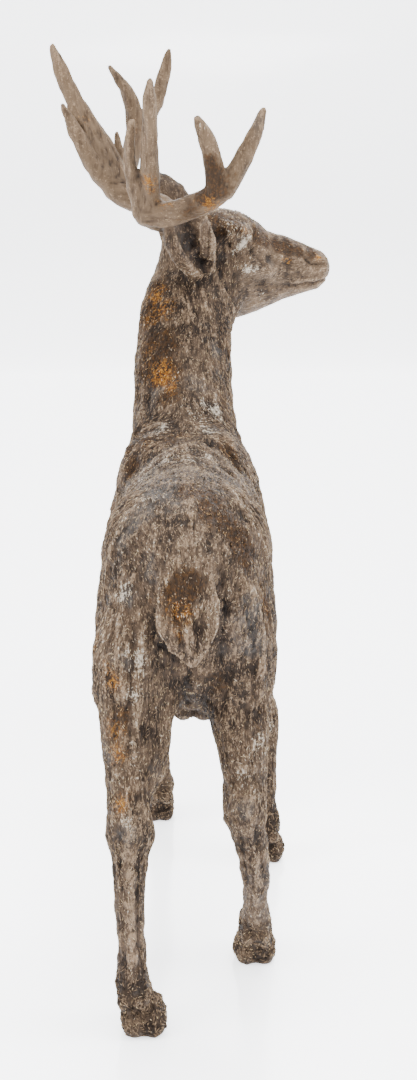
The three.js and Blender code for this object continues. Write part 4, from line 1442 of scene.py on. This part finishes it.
@dataclass(frozen=True)
class Patina:
    """The colours and shine of the old metal, and of the shade, highlights and glints painted on it."""

    umber: Triple = (0.0115, 0.0067, 0.0039)
    taupe: Triple = (0.0500, 0.0318, 0.0195)
    dust_and_highlight_tone: Triple = (0.178, 0.122, 0.077)
    slate: Triple = (0.040, 0.037, 0.035)
    # The dark of the pits and of the painted shade
    pit_and_shade: Triple = (0.005, 0.003, 0.002)
    bone: Triple = (0.099, 0.066, 0.040)
    scorched: Triple = (0.0120, 0.0058, 0.0022)
    sienna: Triple = (0.048, 0.0220, 0.0065)
    rust: Triple = (0.095, 0.028, 0.003)
    ochre: Triple = (0.270, 0.125, 0.020)
    cream_and_glint: Triple = (0.360, 0.270, 0.160)
    lime: Triple = (0.400, 0.355, 0.290)
    roughness: float = 0.64
    metallic: float = 0.08
    gleam: float = 0.12
    broad: Mottle = Mottle(15.0, 4.0, 0.60)
    brown: Mottle = Mottle(19.0, 5.0, 0.70)
    cool: Mottle = Mottle(34.0, 4.0, 0.65)
    middling: Mottle = Mottle(60.0, 4.0, 0.62)
    fine: Mottle = Mottle(300.0, 3.0, 0.65)
    specks: Mottle = Mottle(420.0, 3.0, 0.70)
    grit: Mottle = Mottle(760.0, 2.0, 0.60)

    def coat(self, name: str, hair: bool) -> bpy.types.Material:
        """The finish of the casting, or of the hairs that stand on it, with painted shade and highlights.

        Args:
            name: The material's name.
            hair: Whether it is for the raised hairs.

        Returns:
            The material.
        """
        dye = Dye(name)
        place = dye.place()
        hollow, shade, horn = dye.value("hollow"), dye.value("shade"), dye.value("horn")
        face, slaty = dye.value("face"), dye.value("slate")
        grooves = None if hair else dye.streaks(270.0, 14.0)
        tint = dye.value("tint") if hair else dye.streaks(640.0, 5.0) * 1.6 - 0.35
        broad, middling = dye.noise(place, self.broad), dye.noise(place, self.middling)
        fine, grit = dye.noise(place, self.fine), dye.noise(place, self.grit)
        brown, specks = dye.noise(place, self.brown), dye.noise(place, self.specks)
        # Brown and taupe in broad worn areas, with painted shade: darker in broad hollows and paler on
        # ridges
        worn_and_shaded = (broad * 0.45 + middling * 0.55 + (tint - 0.5) * 0.16 - shade * 0.14).above(0.38, 0.62)
        colour = dye.mix(worn_and_shaded, self.umber, self.taupe)
        # Cool grey patches
        cool = slaty * 0.34 + dye.noise(place, self.cool) - horn * 0.03
        cool = cool.above(0.58, 0.78) * (fine.above(0.36, 0.60) * 0.6 + 0.4)
        colour = dye.mix(cool * 0.8, colour, self.slate)
        # Smooth pale antlers between their grooves, darker where shade is painted
        if grooves is not None:
            smooth = (grooves * 1.3 + middling * 0.55 - shade * 0.16).above(0.74, 1.10)
            clean = (smooth * 0.75 + 0.16 + (brown - 0.5) * 0.6).clamp(0.04, 0.96)
            colour = dye.mix(horn * clean * (1.0 - slaty * 0.7), colour, self.bone)
        # A paler face
        paler = middling * 0.5 + fine * 0.3 + broad * 0.2 + (tint - 0.5) * 0.2 - hollow * 0.05
        colour = dye.mix(face * paler.above(0.34, 0.62) * 0.6, colour, self.bone)
        # Scorched red-brown patches
        burnt = (dye.value("sienna") * 0.50 + brown + (fine - 0.5) * 0.4).above(0.60, 0.84)
        stroked = (fine * 0.8 + tint * 0.35 + grit * 0.3).above(0.62, 0.92)
        colour = dye.mix(burnt * 0.9, colour, dye.mix(stroked, self.scorched, self.sienna))
        # Dust on what stands proud, partly painted highlight on ridges and raised hairs, and held out of
        # the painted shade of hollows
        lifted = 0.06 if hair else -0.03
        dust_and_highlight = fine * 0.55 + grit * 0.45 + middling * 0.25 + (tint - 0.5) * 0.34
        dust_and_highlight = dust_and_highlight - hollow * 0.12 - shade * 0.12 - burnt * 0.20 - horn * 0.06
        dust_and_highlight = (dust_and_highlight + lifted).above(0.62, 0.83)
        colour = dye.mix(dust_and_highlight * 0.86, colour, dye.mix(burnt * 0.4, self.dust_and_highlight_tone, self.ochre))
        # Dark pits, and painted shade in hollows and creases, under the body and towards the bottom
        pits_and_shade = shade * 0.38 + hollow * 0.22 + (0.5 - fine) * 1.25 + (0.5 - tint) * 0.36
        pits_and_shade = (pits_and_shade + dye.value("soot") * 0.42 - horn * 0.24 - face * 0.12 - lifted).above(0.12, 0.58)
        colour = dye.mix(pits_and_shade * 0.88, colour, self.pit_and_shade)
        # Bitten orange rust
        rusty = dye.value("rust")
        bitten = rusty * 0.42 + (fine - 0.5) * 1.0 + (specks - 0.5) * 1.9
        bitten = (bitten + (middling - 0.5) * 0.9 + (brown - 0.5) * 0.3).above(0.29, 0.41)
        bitten = (bitten * (rusty * 1.4 + (brown - 0.64) * 3.0).clamp()).clamp()
        colour = dye.mix(bitten * 0.9, colour, dye.mix(grit.above(0.42, 0.60), self.rust, self.ochre))
        # White lime, held back where shade is painted in hollows and creases
        limed = specks * 0.9 + dye.value("lime") * 0.20 + (broad - 0.5) * 0.25 + (tint - 0.5) * 0.14
        limed = (limed - shade * 0.15 - hollow * 0.05 - horn * 0.10 + lifted * 0.4).above(0.62, 0.74)
        colour = dye.mix(limed * 0.8, colour, self.lime)
        # Pale flecks on single hairs, partly painted glints
        if hair:
            patchy = (middling * 0.7 + broad * 0.5 - shade * 0.1).above(0.46, 0.66)
            fleck_and_glint = tint.above(0.98, 1.16) * patchy
            colour = dye.mix(fleck_and_glint * 0.85, colour, dye.mix(burnt * 0.4, self.cream_and_glint, self.ochre))
        rough = (self.roughness + (fine - 0.5) * 0.4 + bitten * 0.2 + limed * 0.15).clamp(0.4, 0.95)
        sockets = {
            "Base Color": colour,
            "Roughness": rough,
            "Metallic": self.metallic,
            "Specular IOR Level": self.gleam,
        }
        bump = [(fine, 0.6, 0.0008), (grit, 0.4, 0.0003)]
        if grooves is not None:
            bump = [(grooves, 1.0, 0.0020), (tint, 0.8, 0.0007), (grit, 0.4, 0.0003)]
        return dye.finish(sockets, bump)


PALE = (0.97, 0.98, 1.0, 1.0)


@dataclass(frozen=True)
class View:
    """Where the photo was taken from: its place in the form's units, and its lens."""

    place: Triple = (-6.0, -1650.0, 880.0)
    pitch: float = 14.7
    yaw: float = 1.07
    focal_pixels: float = 1520.0
    tall_pixels: float = 1080.0
    sensor: float = 36.0


@dataclass(frozen=True)
class Sweep:
    """The floor's sizes, in metres: its half width, where it bends, and how high it rises."""

    reach: float = 6.0
    start: float = 3.2
    bend: float = 1.2
    top: float = 5.0
    steps: int = 14


@dataclass(frozen=True)
class Lamp:
    """A soft lamp: its place and width, in metres, and its power, in watts."""

    name: str
    at: Triple
    width: float
    power: float

    def hang(self, aim: Triple) -> None:
        """Hangs the lamp, turned towards a point.

        Args:
            aim: The point, in metres.
        """
        data = bpy.data.lights.new(self.name, "AREA")
        data.size = self.width
        data.energy = self.power
        thing = bpy.data.objects.new(self.name, data)
        bpy.context.scene.collection.objects.link(thing)
        thing.location = self.at
        thing.rotation_euler = (Vector(aim) - Vector(self.at)).to_track_quat("-Z", "Y").to_euler()


LAMPS: tuple[Lamp, ...] = (
    Lamp("over", (0.2, -0.3, 3.0), 1.6, 150.0),
    Lamp("left", (-2.4, -1.2, 1.9), 1.4, 110.0),
    Lamp("right", (2.4, -0.6, 1.5), 1.2, 70.0),
    Lamp("behind", (0.3, 2.6, 2.4), 2.2, 110.0),
)
AIM: Triple = (0.0, 0.0, 0.4)


class Studio:
    """The camera, the pale floor and the soft light."""

    def __init__(self, frame: FormFrame) -> None:
        """Keeps the frame that the camera is placed in."""
        self.frame = frame

    def camera(self) -> None:
        """Places the camera behind the animal and a little above its back."""
        view = View()
        data = bpy.data.cameras.new("camera")
        data.sensor_fit = "AUTO"
        data.sensor_width = view.sensor
        data.lens = view.focal_pixels * view.sensor / view.tall_pixels
        thing = bpy.data.objects.new("camera", data)
        bpy.context.scene.collection.objects.link(thing)
        thing.location = Vector(self.frame.metres(view.place))
        pitch, yaw = math.radians(view.pitch), math.radians(view.yaw)
        ahead = Vector(
            (math.sin(yaw) * math.cos(pitch), math.cos(yaw) * math.cos(pitch), -math.sin(pitch))
        )
        thing.rotation_euler = ahead.to_track_quat("-Z", "Y").to_euler()
        bpy.context.scene.camera = thing

    def floor(self) -> None:
        """A plain pale floor that sweeps up behind, lightly glazed."""
        sweep = Sweep()
        rows = [(-sweep.reach, 0.0), (sweep.start, 0.0)]
        for n in range(1, sweep.steps + 1):
            turn = math.pi / 2 * n / sweep.steps
            rows.append((sweep.start + sweep.bend * math.sin(turn), sweep.bend * (1 - math.cos(turn))))
        rows.append((sweep.start + sweep.bend, sweep.top))
        points = [(x, y, z) for y, z in rows for x in (-sweep.reach, sweep.reach)]
        faces = [(n, n + 1, n + 3, n + 2) for n in range(0, len(points) - 2, 2)]
        mesh = bpy.data.meshes.new("floor")
        mesh.from_pydata(points, [], faces)
        mesh.update()
        for polygon in mesh.polygons:
            polygon.use_smooth = True
        thing = bpy.data.objects.new("floor", mesh)
        bpy.context.scene.collection.objects.link(thing)
        dye = Dye("pale_floor")
        sheen = dye.noise(dye.place(), Mottle(3.0, 2.0, 0.5))
        sockets = {
            "Base Color": (0.90, 0.90, 0.91, 1.0),
            "Roughness": 0.12 + sheen * 0.06,
            "Emission Color": PALE,
            "Emission Strength": 1.7,
        }
        mesh.materials.append(dye.finish(sockets))

    def light(self) -> None:
        """Soft light from above and both sides, and an even pale surround."""
        world = bpy.data.worlds.new("surround")
        world.use_nodes = True
        surround = world.node_tree.nodes["Background"].inputs
        surround["Color"].default_value = PALE
        surround["Strength"].default_value = 2.0
        bpy.context.scene.world = world
        for lamp in LAMPS:
            lamp.hang(AIM)


def main() -> None:
    """Builds the figure, its coat of raised hair, its studio and its light."""
    logging.basicConfig(level=logging.INFO, format="%(message)s")
    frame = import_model()
    node = frame["nodes"]["stag"]
    low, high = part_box("stag")
    form = FormFrame(tuple(low), tuple(high))
    studio = Studio(form)
    studio.camera()
    studio.floor()
    studio.light()
    casting = StagCasting(node, form, Modelling()).build()
    casting.data.materials.clear()
    casting.data.materials.append(Patina().coat("weathered_iron", False))
    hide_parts("stag")
    hair_finish = Patina().coat("weathered_iron_hair", True)
    hairs = HairTree(HairRange())
    coat = [layer.lay(casting, hairs, hair_finish) for layer in COAT_LAYERS]
    for piece in (casting, *coat):
        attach(piece, "root")
        LOG.info("piece %s is in place", piece.name)


if __name__ == "__main__":
    main()
